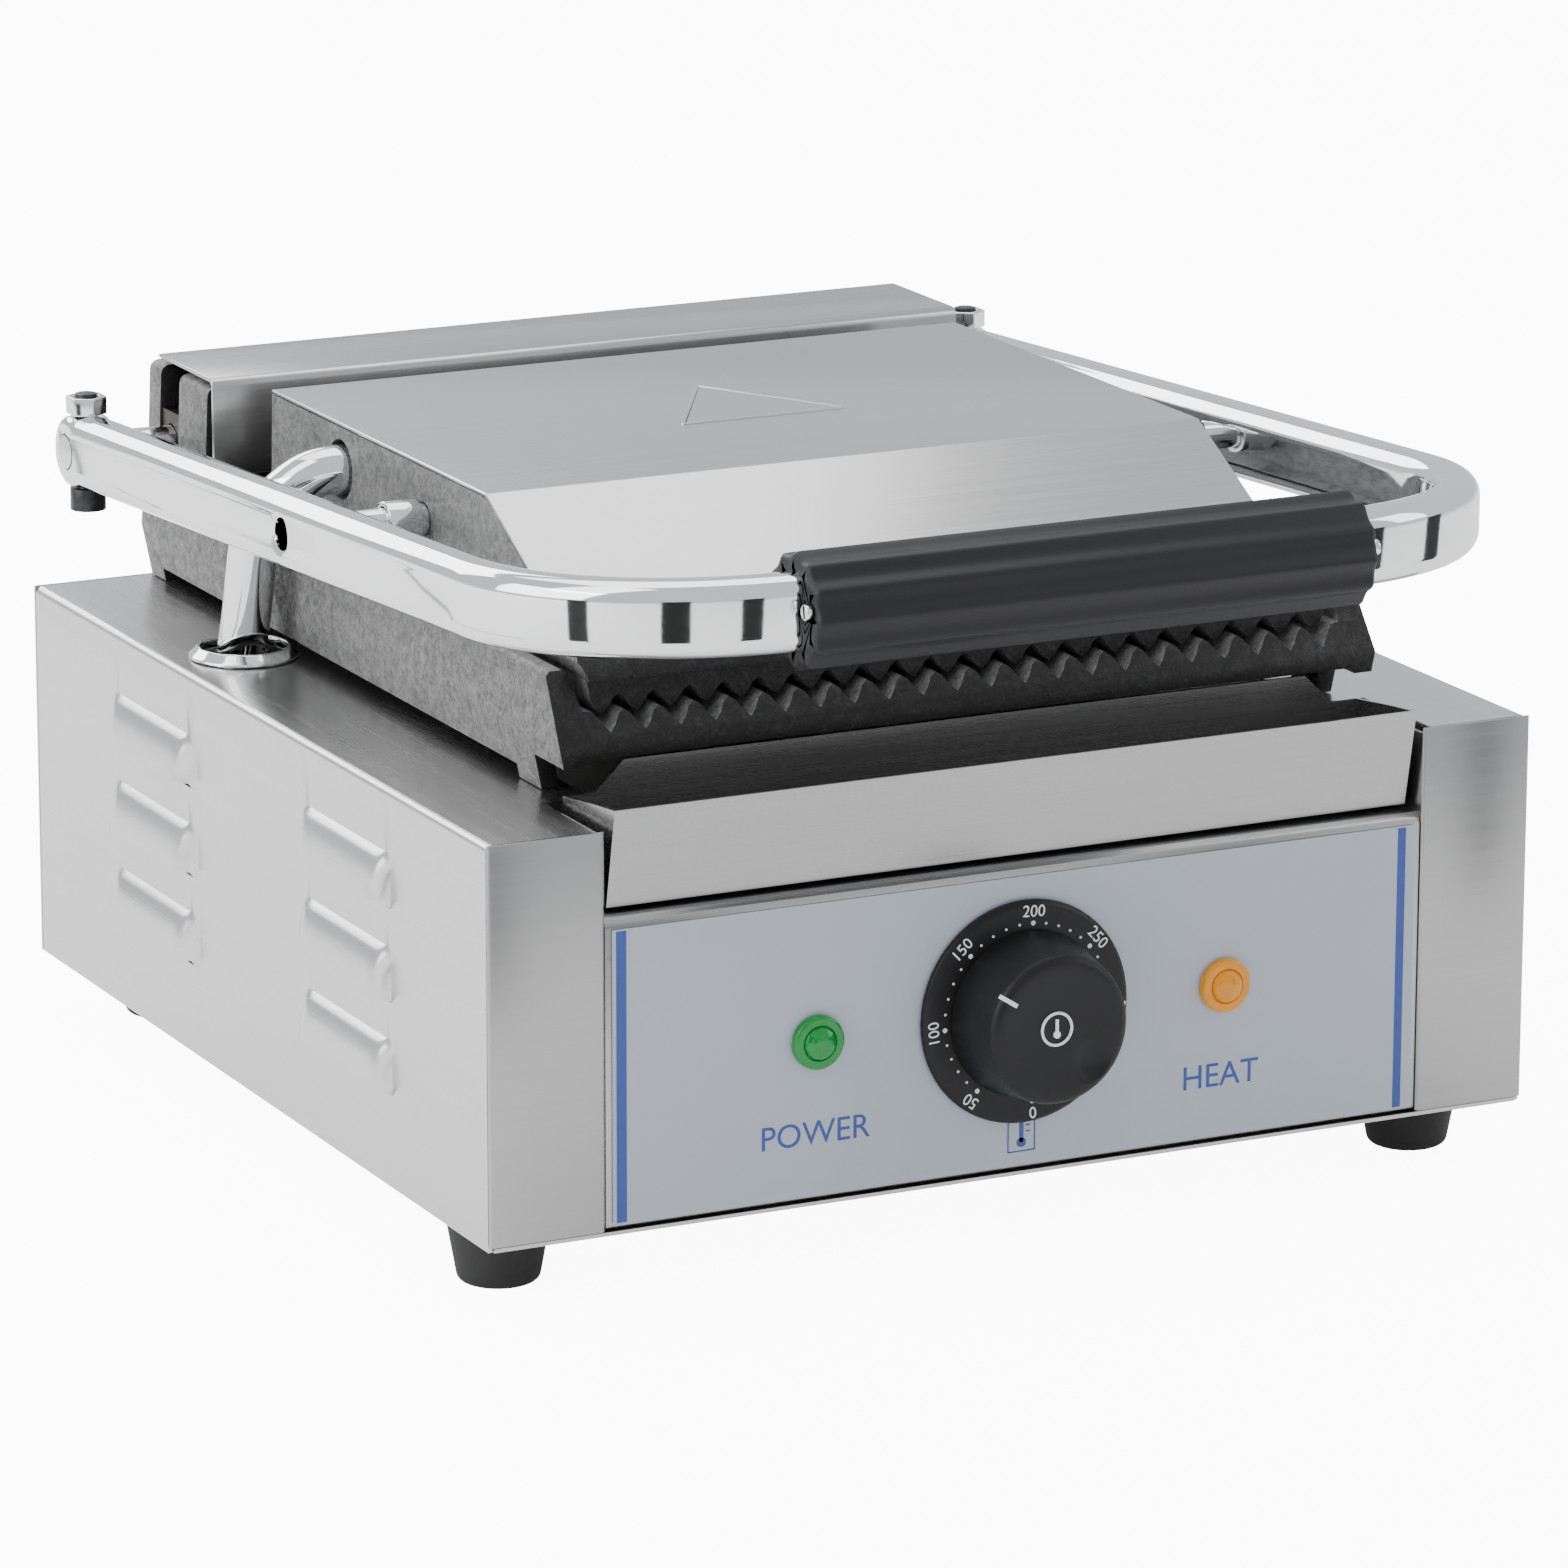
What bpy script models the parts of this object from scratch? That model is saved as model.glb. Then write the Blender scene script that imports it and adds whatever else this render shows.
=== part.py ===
"""A commercial single contact grill: a stainless base with a control panel, a cast iron lower plate,
and a self-levelling cast iron upper plate carried by a chromed tube handle hinged at the back."""

import math

import bmesh
import bpy
from mathutils import Matrix, Vector

MM = 0.001
GAP = 0.3            # between neighbouring pieces
SHEET = 1.0          # stainless sheet

# Base box
BASE_W = 290.0
BASE_D = 297.0
BASE_H = 102.0
HALF_W = BASE_W / 2
HALF_D = BASE_D / 2
MODULE_W = 31.2      # width of each side module, seen from the front
STRIP_W = HALF_W - 103.0    # width of each module's top, which runs in under the casting
FOOT_H = 17.2
FOOT_TOP_R = 13.2
FOOT_BOTTOM_R = 9.9
FRONT_FOOT_IN_X = 15.7   # foot centre from the side of the base
FRONT_FOOT_IN_Y = 30.1   # foot centre from the front of the base
REAR_FOOT_IN_X = 29.3
REAR_FOOT_IN_Y = 15.4

# Control panel
PANEL_RECESS = 1.0
PANEL_TOP = 80.4     # top of the panel over the underside of the base
PANEL_FLANGE = 20.0
PANEL_SIDE_GAP = 0.8
LABEL_T = 0.4
LABEL_MARGIN = 2.3
LAMP_X = 57.0
LAMP_UP = 42.2       # lamp centre over the underside of the base
LAMP_R = 6.9
LAMP_BARREL_R = 5.6
DIAL_UP = 42.8
BEZEL_R = 28.7
BEZEL_T = 2.4
KNOB_BASE_R = 21.4
KNOB_FACE_R = 18.8
KNOB_H = 17.6
SPINDLE_R = 3.0

# Cooking plates
RIB_PITCH = 9.5
RIB_COUNT = 21
RIB_DEPTH = 4.8
RIB_STEPS = 6        # flats along one rib
LOWER_VALLEY = 118.9 # valley of the lower ribs over the underside of the base
PLATE_GAP = 3.4      # air between the closed ribs
LOWER_FRONT = HALF_D - 25.5  # front nose of the lower plate, ahead of the base's middle
FRONT_LEAN = 0.65    # how far the lower plate's front leans back for each millimetre up
NOSE_DROP = 2.4      # top of the upright nose under the valleys
LOWER_REAR = HALF_D - 1.5
COOK_REAR = HALF_D - 58.5
RIM_TOP = 133.4
RIM_IN = 107.3       # half widths of the lower plate at its rims and at its nose
RIM_OUT = 113.1
NOSE_HALF_W = 114.2
SKIRT_HALF_W = 111.3
SKIRT_LIFT = 3.5
UPPER_FRONT = LOWER_FRONT - 5.0
UPPER_REAR = HALF_D - 63.5
UPPER_HALF_W = 103.7
LID_TOP = 164.3      # top of the lid cover over the underside of the base
LID_HALF_W = 101.5
LID_FOLD = UPPER_FRONT - 66.0    # where the cover folds down, ahead of the base's middle
LID_SLOPE_DEG = 28.0
LID_SLOPE_END = UPPER_FRONT - 19.0
BAND_TOP = 139.0     # top of the upper plate's flange over the underside of the base
BAND_H = 8.0
WELL_FLOOR = 135.5   # floor of the heater well over the underside of the base
WELL_WALL = 6.0

# Hinge and handle
PIVOT_Y = HALF_D - 16.5
PIVOT_UP = 141.8
SHAFT_R = 4.6
TROUGH_FRONT = PIVOT_Y - 20.0
TROUGH_REAR = PIVOT_Y + 8.6
EAR_T = 11.0
EAR_HALF_W = 111.0
EAR_TOP = 161.5
SLOT_W = 13.0
COVER_FRONT = PIVOT_Y - 29.4
COVER_REAR = PIVOT_Y + 8.5
COVER_DROP = 26.5
HANDLE_X = -3.0      # middle of the handle from the middle of the base
ARM_X = 132.3        # middle of each arm from the middle of the handle
TUBE_H = 19.5
TUBE_W = 12.4
TUBE_WALL = 1.5
TUBE_R = 5.2
HANDLE_Y = HALF_D + 28.5     # front tube's centre, ahead of the base's middle
HANDLE_UP = 159.0
CORNER_R = 58.0
GRIP_X = -1.75       # middle of the grip from the middle of the base
GRIP_HALF = 76.25
GRIP_R = 14.6
GRIP_FLUTES = 12
FLUTE_DEPTH = 1.1
CROSS_Y = 14.0       # cross shaft, ahead of the base's middle
CROSS_R = 4.0
SLEEVE_R = 5.6
SLEEVE_L = 9.0
BOLT_R = 3.0
OPEN_DEG = 60.0

# Cable conduit between the base and the lid
CONDUIT_R = 6.5
CONDUIT_X = 124.3
COLLAR_Y = PIVOT_Y - 80.7
COLLAR_HOLE_R = 11.4
COLLAR_R = 14.5
COLLAR_H = 2.8
CONDUIT_HOLE_R = 7.9
CONDUIT_IN_Y = PIVOT_Y - 92.6
CONDUIT_IN_UP = 152.0

# Louvres
LOUVRE_L = 53.0
LOUVRE_H = 10.5
LOUVRE_OUT = 4.6
LOUVRE_PITCH = 23.9
LOUVRE_TOP_UP = 86.0
LOUVRE_Y = 63.5
LOUVRE_ROWS = 3

TRAY_LIP = 5.0       # tray front over the base's top
TRAY_LEAN = 5.0
TRAY_SIDE_GAP = 2.3
TRAY_BACK_TOP = 111.3

# Worked out
BASE_TOP = FOOT_H + BASE_H
INNER_X = HALF_W - MODULE_W
PIVOT_Z = FOOT_H + PIVOT_UP
HANDLE_Z = FOOT_H + HANDLE_UP
ARM_SLOPE = (HANDLE_Z - PIVOT_Z) / (HANDLE_Y + PIVOT_Y)
CROSS_Z = PIVOT_Z + ARM_SLOPE * (PIVOT_Y + CROSS_Y)
VALLEY_Z = FOOT_H + LOWER_VALLEY
UNDER_PLATE = VALLEY_Z - 6.1
PANEL_FACE = -HALF_D + PANEL_RECESS
PANEL_TOP_Z = FOOT_H + PANEL_TOP
DIAL_Z = FOOT_H + DIAL_UP
LAMP_Z = FOOT_H + LAMP_UP
LID_Z = FOOT_H + LID_TOP
GLAND_OUT = 9.0
FRONT_END = HANDLE_Y + GRIP_R
REAR_END = HALF_D + GLAND_OUT
ORIGIN_SHIFT = (FRONT_END - REAR_END) / 2


# ---------------------------------------------------------------- scene

for old in list(bpy.data.objects):
    bpy.data.objects.remove(old, do_unlink=True)

PARTS = bpy.data.collections.new("contact_grill")
CUTTERS = bpy.data.collections.new("cutters")
bpy.context.scene.collection.children.link(PARTS)
bpy.context.scene.collection.children.link(CUTTERS)
CUTTERS.hide_render = True


def empty(name, y, z, parent=None):
    """An axis that pieces hang from, at millimetres from the base's middle."""
    axis = bpy.data.objects.new(name, None)
    PARTS.objects.link(axis)
    axis.parent = parent
    where = Vector((0.0, y, z)) * MM
    if parent is not None:
        axis.matrix_parent_inverse = parent.matrix_world.inverted()
        where += parent.location if parent is ORIGIN else ORIGIN.location
    axis.matrix_world = Matrix.Translation(where)
    bpy.context.view_layer.update()
    return axis


ORIGIN = empty("grill_origin", ORIGIN_SHIFT, 0.0)
HANDLE_AXIS = empty("handle_axis", PIVOT_Y, PIVOT_Z, ORIGIN)
PLATE_AXIS = empty("plate_axis", -CROSS_Y, CROSS_Z, HANDLE_AXIS)
TRAY_AXIS = empty("tray_axis", -HALF_D, BASE_TOP, ORIGIN)
KNOB_AXIS = empty("knob_axis", PANEL_FACE, DIAL_Z, ORIGIN)


def material(name, colour, roughness, metallic):
    """A plain surface for one piece."""
    made = bpy.data.materials.new(name)
    made.use_nodes = True
    shader = made.node_tree.nodes["Principled BSDF"]
    shader.inputs["Base Color"].default_value = (*colour, 1.0)
    shader.inputs["Roughness"].default_value = roughness
    shader.inputs["Metallic"].default_value = metallic
    return made


STEEL = ((0.62, 0.62, 0.61), 0.32, 1.0)
CHROME = ((0.85, 0.85, 0.86), 0.08, 1.0)
IRON = ((0.09, 0.09, 0.09), 0.75, 0.4)
ZINC = ((0.5, 0.5, 0.48), 0.4, 1.0)
BLACK = ((0.02, 0.02, 0.02), 0.5, 0.0)
RUBBER = ((0.03, 0.03, 0.03), 0.85, 0.0)
WHITE = ((0.75, 0.74, 0.7), 0.6, 0.0)


def finish(obj, surface, parent=None, smooth=True):
    """Give a piece its own material and parent, and file it with the parts."""
    obj.data.materials.clear()
    obj.data.materials.append(material(obj.name + "_surface", *surface))
    if smooth:
        obj.data.shade_smooth()
        obj.data.set_sharp_from_angle(angle=math.radians(32))
    hold = parent or ORIGIN
    world = ORIGIN.matrix_world @ obj.matrix_world
    obj.parent = hold
    obj.matrix_parent_inverse = hold.matrix_world.inverted()
    obj.matrix_world = world
    return obj


def new_object(name, mesh):
    obj = bpy.data.objects.new(name, mesh)
    PARTS.objects.link(obj)
    return obj


def mesh_of(name, bm):
    mesh = bpy.data.meshes.new(name)
    bm.to_mesh(mesh)
    bm.free()
    return mesh


def block(name, xs, ys, zs):
    """A box between three pairs of places, in millimetres."""
    bm = bmesh.new()
    bmesh.ops.create_cube(bm, size=1.0)
    size = [abs(pair[1] - pair[0]) * MM for pair in (xs, ys, zs)]
    middle = [(pair[0] + pair[1]) / 2 * MM for pair in (xs, ys, zs)]
    bmesh.ops.scale(bm, vec=size, verts=bm.verts)
    bmesh.ops.translate(bm, vec=middle, verts=bm.verts)
    return new_object(name, mesh_of(name, bm))


TURN = {
    "X": Matrix(((0, 0, 1), (1, 0, 0), (0, 1, 0))).to_4x4(),
    "Y": Matrix(((1, 0, 0), (0, 0, -1), (0, 1, 0))).to_4x4(),
    "Z": Matrix.Identity(4),
}
AXIS_INDEX = {"X": 0, "Y": 1, "Z": 2}


def rod(name, axis, centre, radius, low, high, sides=32, end_radius=None):
    """A cylinder or cone along an axis, with its centre line through the point centre."""
    bm = bmesh.new()
    bmesh.ops.create_cone(
        bm,
        cap_ends=True,
        segments=sides,
        radius1=radius * MM,
        radius2=(radius if end_radius is None else end_radius) * MM,
        depth=(high - low) * MM,
    )
    place = Vector(centre)
    place[AXIS_INDEX[axis]] = (low + high) / 2
    bmesh.ops.transform(bm, matrix=TURN[axis], verts=bm.verts)
    bmesh.ops.translate(bm, vec=place * MM, verts=bm.verts)
    return new_object(name, mesh_of(name, bm))


def solid_from(curve_obj, name):
    """The closed mesh that a curve makes."""
    PARTS.objects.link(curve_obj)
    bpy.context.view_layer.update()
    graph = bpy.context.evaluated_depsgraph_get()
    mesh = bpy.data.meshes.new_from_object(curve_obj.evaluated_get(graph))
    mesh.name = name
    bpy.data.objects.remove(curve_obj, do_unlink=True)
    bm = bmesh.new()
    bm.from_mesh(mesh)
    bmesh.ops.remove_doubles(bm, verts=bm.verts, dist=0.000002)
    bmesh.ops.recalc_face_normals(bm, faces=bm.faces)
    bm.to_mesh(mesh)
    bm.free()
    return mesh


def prism(name, axis, outlines, low, high):
    """Flat outlines, the first solid and the rest holes, extruded between two places along an axis.

    An outline is (y, z) points along X, (x, z) along Y and (x, y) along Z."""
    curve = bpy.data.curves.new(name, "CURVE")
    curve.dimensions = "2D"
    curve.fill_mode = "BOTH"
    curve.extrude = (high - low) / 2 * MM
    for outline in outlines:
        spline = curve.splines.new("POLY")
        spline.points.add(len(outline) - 1)
        for point, (u, v) in zip(spline.points, outline):
            point.co = (u * MM, v * MM, 0.0, 1.0)
        spline.use_cyclic_u = True
    mesh = solid_from(bpy.data.objects.new(name, curve), name)
    mesh.transform(TURN[axis])
    shift = Vector((0.0, 0.0, 0.0))
    shift[AXIS_INDEX[axis]] = (low + high) / 2 * MM
    mesh.transform(Matrix.Translation(shift))
    return new_object(name, mesh)


def sweep(name, path, radius, resolution=3, section=None):
    """A tube along millimetre points, round or with a flat outline as its section."""
    curve = bpy.data.curves.new(name, "CURVE")
    curve.dimensions = "3D"
    curve.twist_mode = "Z_UP"
    curve.use_fill_caps = True
    if section is None:
        curve.bevel_depth = radius * MM
        curve.bevel_resolution = resolution
    else:
        curve.bevel_mode = "OBJECT"
        curve.bevel_object = section
    spline = curve.splines.new("POLY")
    spline.points.add(len(path) - 1)
    for point, place in zip(spline.points, path):
        point.co = (*(Vector(place) * MM), 1.0)
    return new_object(name, solid_from(bpy.data.objects.new(name, curve), name))


def turned(name, profile, axis, centre, steps=48):
    """A profile of (radius, height) points, from its top down its outer side, turned about an axis."""
    mesh = bpy.data.meshes.new(name)
    points = [(r * MM, 0.0, h * MM) for r, h in profile]
    mesh.from_pydata(points, [(i, i + 1) for i in range(len(points) - 1)], [])
    obj = new_object(name, mesh)
    screw = obj.modifiers.new("turn", "SCREW")
    screw.steps = steps
    screw.render_steps = steps
    screw.use_merge_vertices = True
    screw.merge_threshold = 0.00001
    obj.matrix_world = Matrix.Translation(Vector(centre) * MM) @ TURN[axis]
    return obj


def combine(obj, other, operation="DIFFERENCE"):
    """Cut one shape from a piece, or join it on, and file the helper with the cutters."""
    PARTS.objects.unlink(other)
    CUTTERS.objects.link(other)
    other.hide_render = True
    other.display_type = "WIRE"
    other.parent = obj
    step = obj.modifiers.new(other.name, "BOOLEAN")
    step.operation = operation
    step.solver = "EXACT"
    step.object = other
    return obj


def arc(u, v, radius, start, end, count):
    """Points round an arc between two angles in degrees."""
    angles = [math.radians(start + (end - start) * i / count) for i in range(count + 1)]
    return [(u + radius * math.cos(a), v + radius * math.sin(a)) for a in angles]


def rounded(corners, count=3):
    """An outline from (u, v, radius) corners."""
    outline = []
    for i, (u, v, radius) in enumerate(corners):
        here = Vector((u, v))
        if radius <= 0:
            outline.append((u, v))
            continue
        before = (Vector(corners[i - 1][:2]) - here).normalized()
        after = (Vector(corners[(i + 1) % len(corners)][:2]) - here).normalized()
        half = before.angle(after) / 2
        middle = here + (before + after).normalized() * (radius / math.sin(half))
        first = here + before * (radius / math.tan(half)) - middle
        turn = first.angle_signed(here + after * (radius / math.tan(half)) - middle)
        for k in range(count + 1):
            at = middle + Matrix.Rotation(-turn * k / count, 2) @ first
            outline.append((at.x, at.y))
    return outline


def both_sides(half):
    """A full outline from its +X half, listed from the top middle to the bottom middle."""
    return half + [(-u, v) for u, v in reversed(half) if u > 0]


def circle(u, v, radius, count=24):
    return arc(u, v, radius, 0, 360 - 360 / count, count - 1)


def named_sides():
    return (("left", -1), ("right", 1))


# ---------------------------------------------------------------- base shells

def louvre(shell, side, y, top_z, name):
    """A pressed louvre, open at its bottom edge, joined to a side shell."""
    low_z = top_z - LOUVRE_H

    def hood(label, shrink, low_cut, inner_cut):
        bm = bmesh.new()
        bmesh.ops.create_uvsphere(bm, u_segments=12, v_segments=8, radius=1.0)
        bmesh.ops.rotate(bm, cent=(0, 0, 0), matrix=Matrix.Rotation(math.pi / 2, 3, "X"), verts=bm.verts)
        for vert in bm.verts:
            along = math.copysign(abs(vert.co.y) ** 0.45, vert.co.y)
            vert.co.x *= (LOUVRE_OUT - shrink) * MM
            vert.co.y = along * (LOUVRE_L / 2 - shrink) * MM
            vert.co.z *= (LOUVRE_H - shrink) * MM
        for place, normal in (((0, 0, -low_cut), (0, 0, 1)), ((-side * inner_cut, 0, 0), (side, 0, 0))):
            cut = bmesh.ops.bisect_plane(
                bm,
                geom=bm.verts[:] + bm.edges[:] + bm.faces[:],
                dist=1e-8,
                plane_co=Vector(place) * MM,
                plane_no=normal,
                clear_inner=True,
            )
            edges = [item for item in cut["geom_cut"] if isinstance(item, bmesh.types.BMEdge)]
            bmesh.ops.holes_fill(bm, edges=edges, sides=0)
        bmesh.ops.recalc_face_normals(bm, faces=bm.faces)
        place = Vector((side * (HALF_W - SHEET / 2), y, low_z)) * MM
        bmesh.ops.translate(bm, vec=place, verts=bm.verts)
        return new_object(label, mesh_of(label, bm))

    combine(shell, hood(name + "_hood", 0.0, 0.013, 0.21), "UNION")
    combine(shell, hood(name + "_hollow", SHEET, 0.57, 2.3))


def side_shell(label, side):
    """The outer wall and the top of one module, folded from one sheet."""
    bend = 2.0
    outline = rounded([
        (side * HALF_W, FOOT_H, 0),
        (side * HALF_W, BASE_TOP, bend),
        (side * (HALF_W - STRIP_W), BASE_TOP, 0),
        (side * (HALF_W - STRIP_W), BASE_TOP - SHEET, 0),
        (side * (HALF_W - SHEET), BASE_TOP - SHEET, bend - SHEET),
        (side * (HALF_W - SHEET), FOOT_H, 0),
    ], 4)
    reach = HALF_D - SHEET - GAP
    shell = prism("side_shell_" + label, "Y", [outline], -reach, reach)
    notch = block(
        "tray_notch_" + label,
        sorted((side * INNER_X, side * (HALF_W - STRIP_W - 5))),
        (-HALF_D, -LOWER_FRONT + 9),
        (BASE_TOP - 5, BASE_TOP + 5),
    )
    combine(shell, notch)
    for column in (-1, 1):
        for row in range(LOUVRE_ROWS):
            top_z = FOOT_H + LOUVRE_TOP_UP - row * LOUVRE_PITCH
            name = f"louvre_{label}_{'rear' if column > 0 else 'front'}_{row + 1}"
            louvre(shell, side, column * LOUVRE_Y, top_z, name)
    if side < 0:
        hole = rod("collar_hole", "Z", (-CONDUIT_X, COLLAR_Y, 0), COLLAR_HOLE_R, BASE_TOP - 5, BASE_TOP + 5)
        combine(shell, hole)
    return finish(shell, STEEL)


def front_cap(label, side):
    """A module's front face with the inner wall folded back from it."""
    outline = rounded([
        (side * HALF_W, -HALF_D, 0.8),
        (side * INNER_X, -HALF_D, 1.6),
        (side * INNER_X, HALF_D - SHEET - GAP, 0),
        (side * (INNER_X + SHEET), HALF_D - SHEET - GAP, 0),
        (side * (INNER_X + SHEET), -HALF_D + SHEET, 0.6),
        (side * HALF_W, -HALF_D + SHEET, 0),
    ])
    cap = prism("front_cap_" + label, "Z", [outline], FOOT_H + SHEET + GAP, BASE_TOP)
    lowered = block(
        "under_strip_" + label,
        (side * (INNER_X - 2), side * (HALF_W + 2)),
        (-HALF_D + SHEET, HALF_D),
        (BASE_TOP - SHEET - GAP, BASE_TOP + 2),
    )
    return finish(combine(cap, lowered), STEEL)


def feet_places():
    front = ("front", HALF_W - FRONT_FOOT_IN_X, -(HALF_D - FRONT_FOOT_IN_Y))
    rear = ("rear", HALF_W - REAR_FOOT_IN_X, HALF_D - REAR_FOOT_IN_Y)
    for end, x, y in (front, rear):
        for label, side in named_sides():
            yield f"{end}_{label}", side * x, y


def base_floor():
    """The bottom plate, with rows of slots that let air in under the heater."""
    edge = SHEET + GAP
    outline = [
        (-HALF_W + edge, -HALF_D + 0.4), (HALF_W - edge, -HALF_D + 0.4),
        (HALF_W - edge, HALF_D - edge), (-HALF_W + edge, HALF_D - edge),
    ]
    holes = []
    for row in range(5):
        for x in (-45.0, 45.0):
            y = -40.0 + 24.0 * row
            holes.append(rounded([
                (x - 26, y - 3, 2.9), (x + 26, y - 3, 2.9), (x + 26, y + 3, 2.9), (x - 26, y + 3, 2.9),
            ]))
    floor = prism("base_floor", "Z", [outline] + holes, FOOT_H, FOOT_H + SHEET)
    return finish(floor, STEEL)


def back_panel():
    """The rear wall, with the cable gland's hole and two rows of slots."""
    outline = [(-HALF_W, FOOT_H), (HALF_W, FOOT_H), (HALF_W, BASE_TOP), (-HALF_W, BASE_TOP)]
    holes = [circle(GLAND_X, GLAND_Z, GLAND_R + GAP)]
    for column in range(7):
        x = (column - 3) * 22.0
        low, high = FOOT_H + 66, FOOT_H + 70
        holes.append(rounded([(x - 7, low, 1.9), (x + 7, low, 1.9), (x + 7, high, 1.9), (x - 7, high, 1.9)]))
    panel = prism("back_panel", "Y", [outline] + holes, HALF_D - SHEET, HALF_D)
    return finish(panel, STEEL)


def foot(label, x, y):
    """A moulded rubber foot, wider at its top."""
    profile = [
        (0, FOOT_H - GAP), (FOOT_TOP_R, FOOT_H - GAP), (FOOT_TOP_R, FOOT_H - 2.5),
        (FOOT_BOTTOM_R + 0.6, 1.2), (FOOT_BOTTOM_R, 0.35), (FOOT_BOTTOM_R - 1.2, 0), (0, 0),
    ]
    return finish(turned("foot_" + label, profile, "Z", (x, y, 0), 28), RUBBER)


GLAND_X = 70.0
GLAND_Z = FOOT_H + 30.0
GLAND_R = 8.0

for side_label, side_sign in named_sides():
    side_shell(side_label, side_sign)
    front_cap(side_label, side_sign)
base_floor()
back_panel()
for foot_label, foot_x, foot_y in feet_places():
    foot(foot_label, foot_x, foot_y)


# ---------------------------------------------------------------- control panel

def front_panel():
    """The folded control panel between the modules."""
    low = FOOT_H + SHEET + GAP
    face = PANEL_FACE
    outline = rounded([
        (face, low, 1.4),
        (face, PANEL_TOP_Z, 3.2),
        (face + PANEL_FLANGE, PANEL_TOP_Z, 0),
        (face + PANEL_FLANGE, PANEL_TOP_Z - SHEET, 0),
        (face + SHEET, PANEL_TOP_Z - SHEET, 2.2),
        (face + SHEET, low + SHEET, 0.4),
        (face + 12, low + SHEET, 0),
        (face + 12, low, 0),
    ])
    reach = INNER_X - PANEL_SIDE_GAP
    panel = prism("front_panel", "X", [outline], -reach, reach)
    for x, z, radius in panel_holes():
        combine(panel, rod(f"panel_hole_{x:.0f}", "Y", (x, 0, z), radius, face - 5, face + 5, 24))
    return finish(panel, STEEL)


def panel_holes():
    return (
        (-LAMP_X, LAMP_Z, LAMP_BARREL_R + GAP),
        (LAMP_X, LAMP_Z, LAMP_BARREL_R + GAP),
        (0.0, DIAL_Z, SPINDLE_R + 2),
    )


def panel_label():
    """The printed overlay on the control panel."""
    reach = INNER_X - PANEL_SIDE_GAP - 0.9
    low = FOOT_H + SHEET + GAP + 1.4
    high = PANEL_TOP_Z - LABEL_MARGIN - 0.9
    outline = [(-reach, low), (reach, low), (reach, high), (-reach, high)]
    holes = [circle(x, z, radius) for x, z, radius in panel_holes()]
    face = PANEL_FACE - GAP
    label = prism("panel_label", "Y", [outline] + holes, face - LABEL_T, face)
    return finish(label, ((0.62, 0.66, 0.71), 0.45, 0.0))


def lamp(label, x, colour):
    """A pilot lamp: a faceted lens in front of the panel and its barrel behind."""
    face = PANEL_FACE - GAP - LABEL_T - GAP
    profile = [
        (0, 4.0), (2.6, 3.7), (4.4, 3.0), (5.4, 2.1), (LAMP_R - 0.4, 1.9), (LAMP_R, 1.5), (LAMP_R, 0), (0, 0),
    ]
    lens = turned(label + "_lamp_lens", profile, "Y", (x, face, LAMP_Z), 32)
    finish(lens, (colour, 0.12, 0.0))
    barrel = rod(label + "_lamp_body", "Y", (x, 0, LAMP_Z), LAMP_BARREL_R, face + GAP, face + 26, 24)
    nut_front = PANEL_FACE + SHEET + GAP
    nut = rod(label + "_lamp_nut", "Y", (x, 0, LAMP_Z), LAMP_BARREL_R + 2.4, nut_front, PANEL_FACE + 6, 6)
    combine(barrel, nut, "UNION")
    return finish(barrel, BLACK)


def dial_bezel():
    """The graduated disc behind the knob."""
    face = PANEL_FACE - GAP - LABEL_T - GAP
    hole = SPINDLE_R + 1
    profile = [
        (hole, BEZEL_T), (BEZEL_R - 1.2, BEZEL_T), (BEZEL_R, BEZEL_T - 1.0),
        (BEZEL_R, 0), (hole, 0), (hole, BEZEL_T),
    ]
    return finish(turned("dial_bezel", profile, "Y", (0, face, DIAL_Z), 56), BLACK)


def knob():
    """The control knob with its pointer rib, and the spindle that it turns."""
    back = PANEL_FACE - GAP - LABEL_T - GAP - BEZEL_T - GAP
    bore = SPINDLE_R + GAP
    profile = [
        (0, KNOB_H - 0.9), (6.0, KNOB_H - 0.7), (KNOB_FACE_R - 3.2, KNOB_H),
        (KNOB_FACE_R - 1.2, KNOB_H - 0.3),
        (KNOB_FACE_R, KNOB_H - 1.6), (KNOB_FACE_R + 0.7, KNOB_H * 0.5), (KNOB_BASE_R - 0.7, 3.6),
        (KNOB_BASE_R, 2.4), (KNOB_BASE_R, 0), (bore, 0), (bore, KNOB_H - 7), (0, KNOB_H - 7),
    ]
    body = turned("knob", profile, "Y", (0, back, DIAL_Z), 48)
    finish(body, BLACK, KNOB_AXIS)
    tip = back - (KNOB_H - 7) + GAP
    spindle = rod("thermostat_spindle", "Y", (0, 0, DIAL_Z), SPINDLE_R, tip, PANEL_FACE + 8, 20)
    return finish(spindle, ZINC, KNOB_AXIS)


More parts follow.
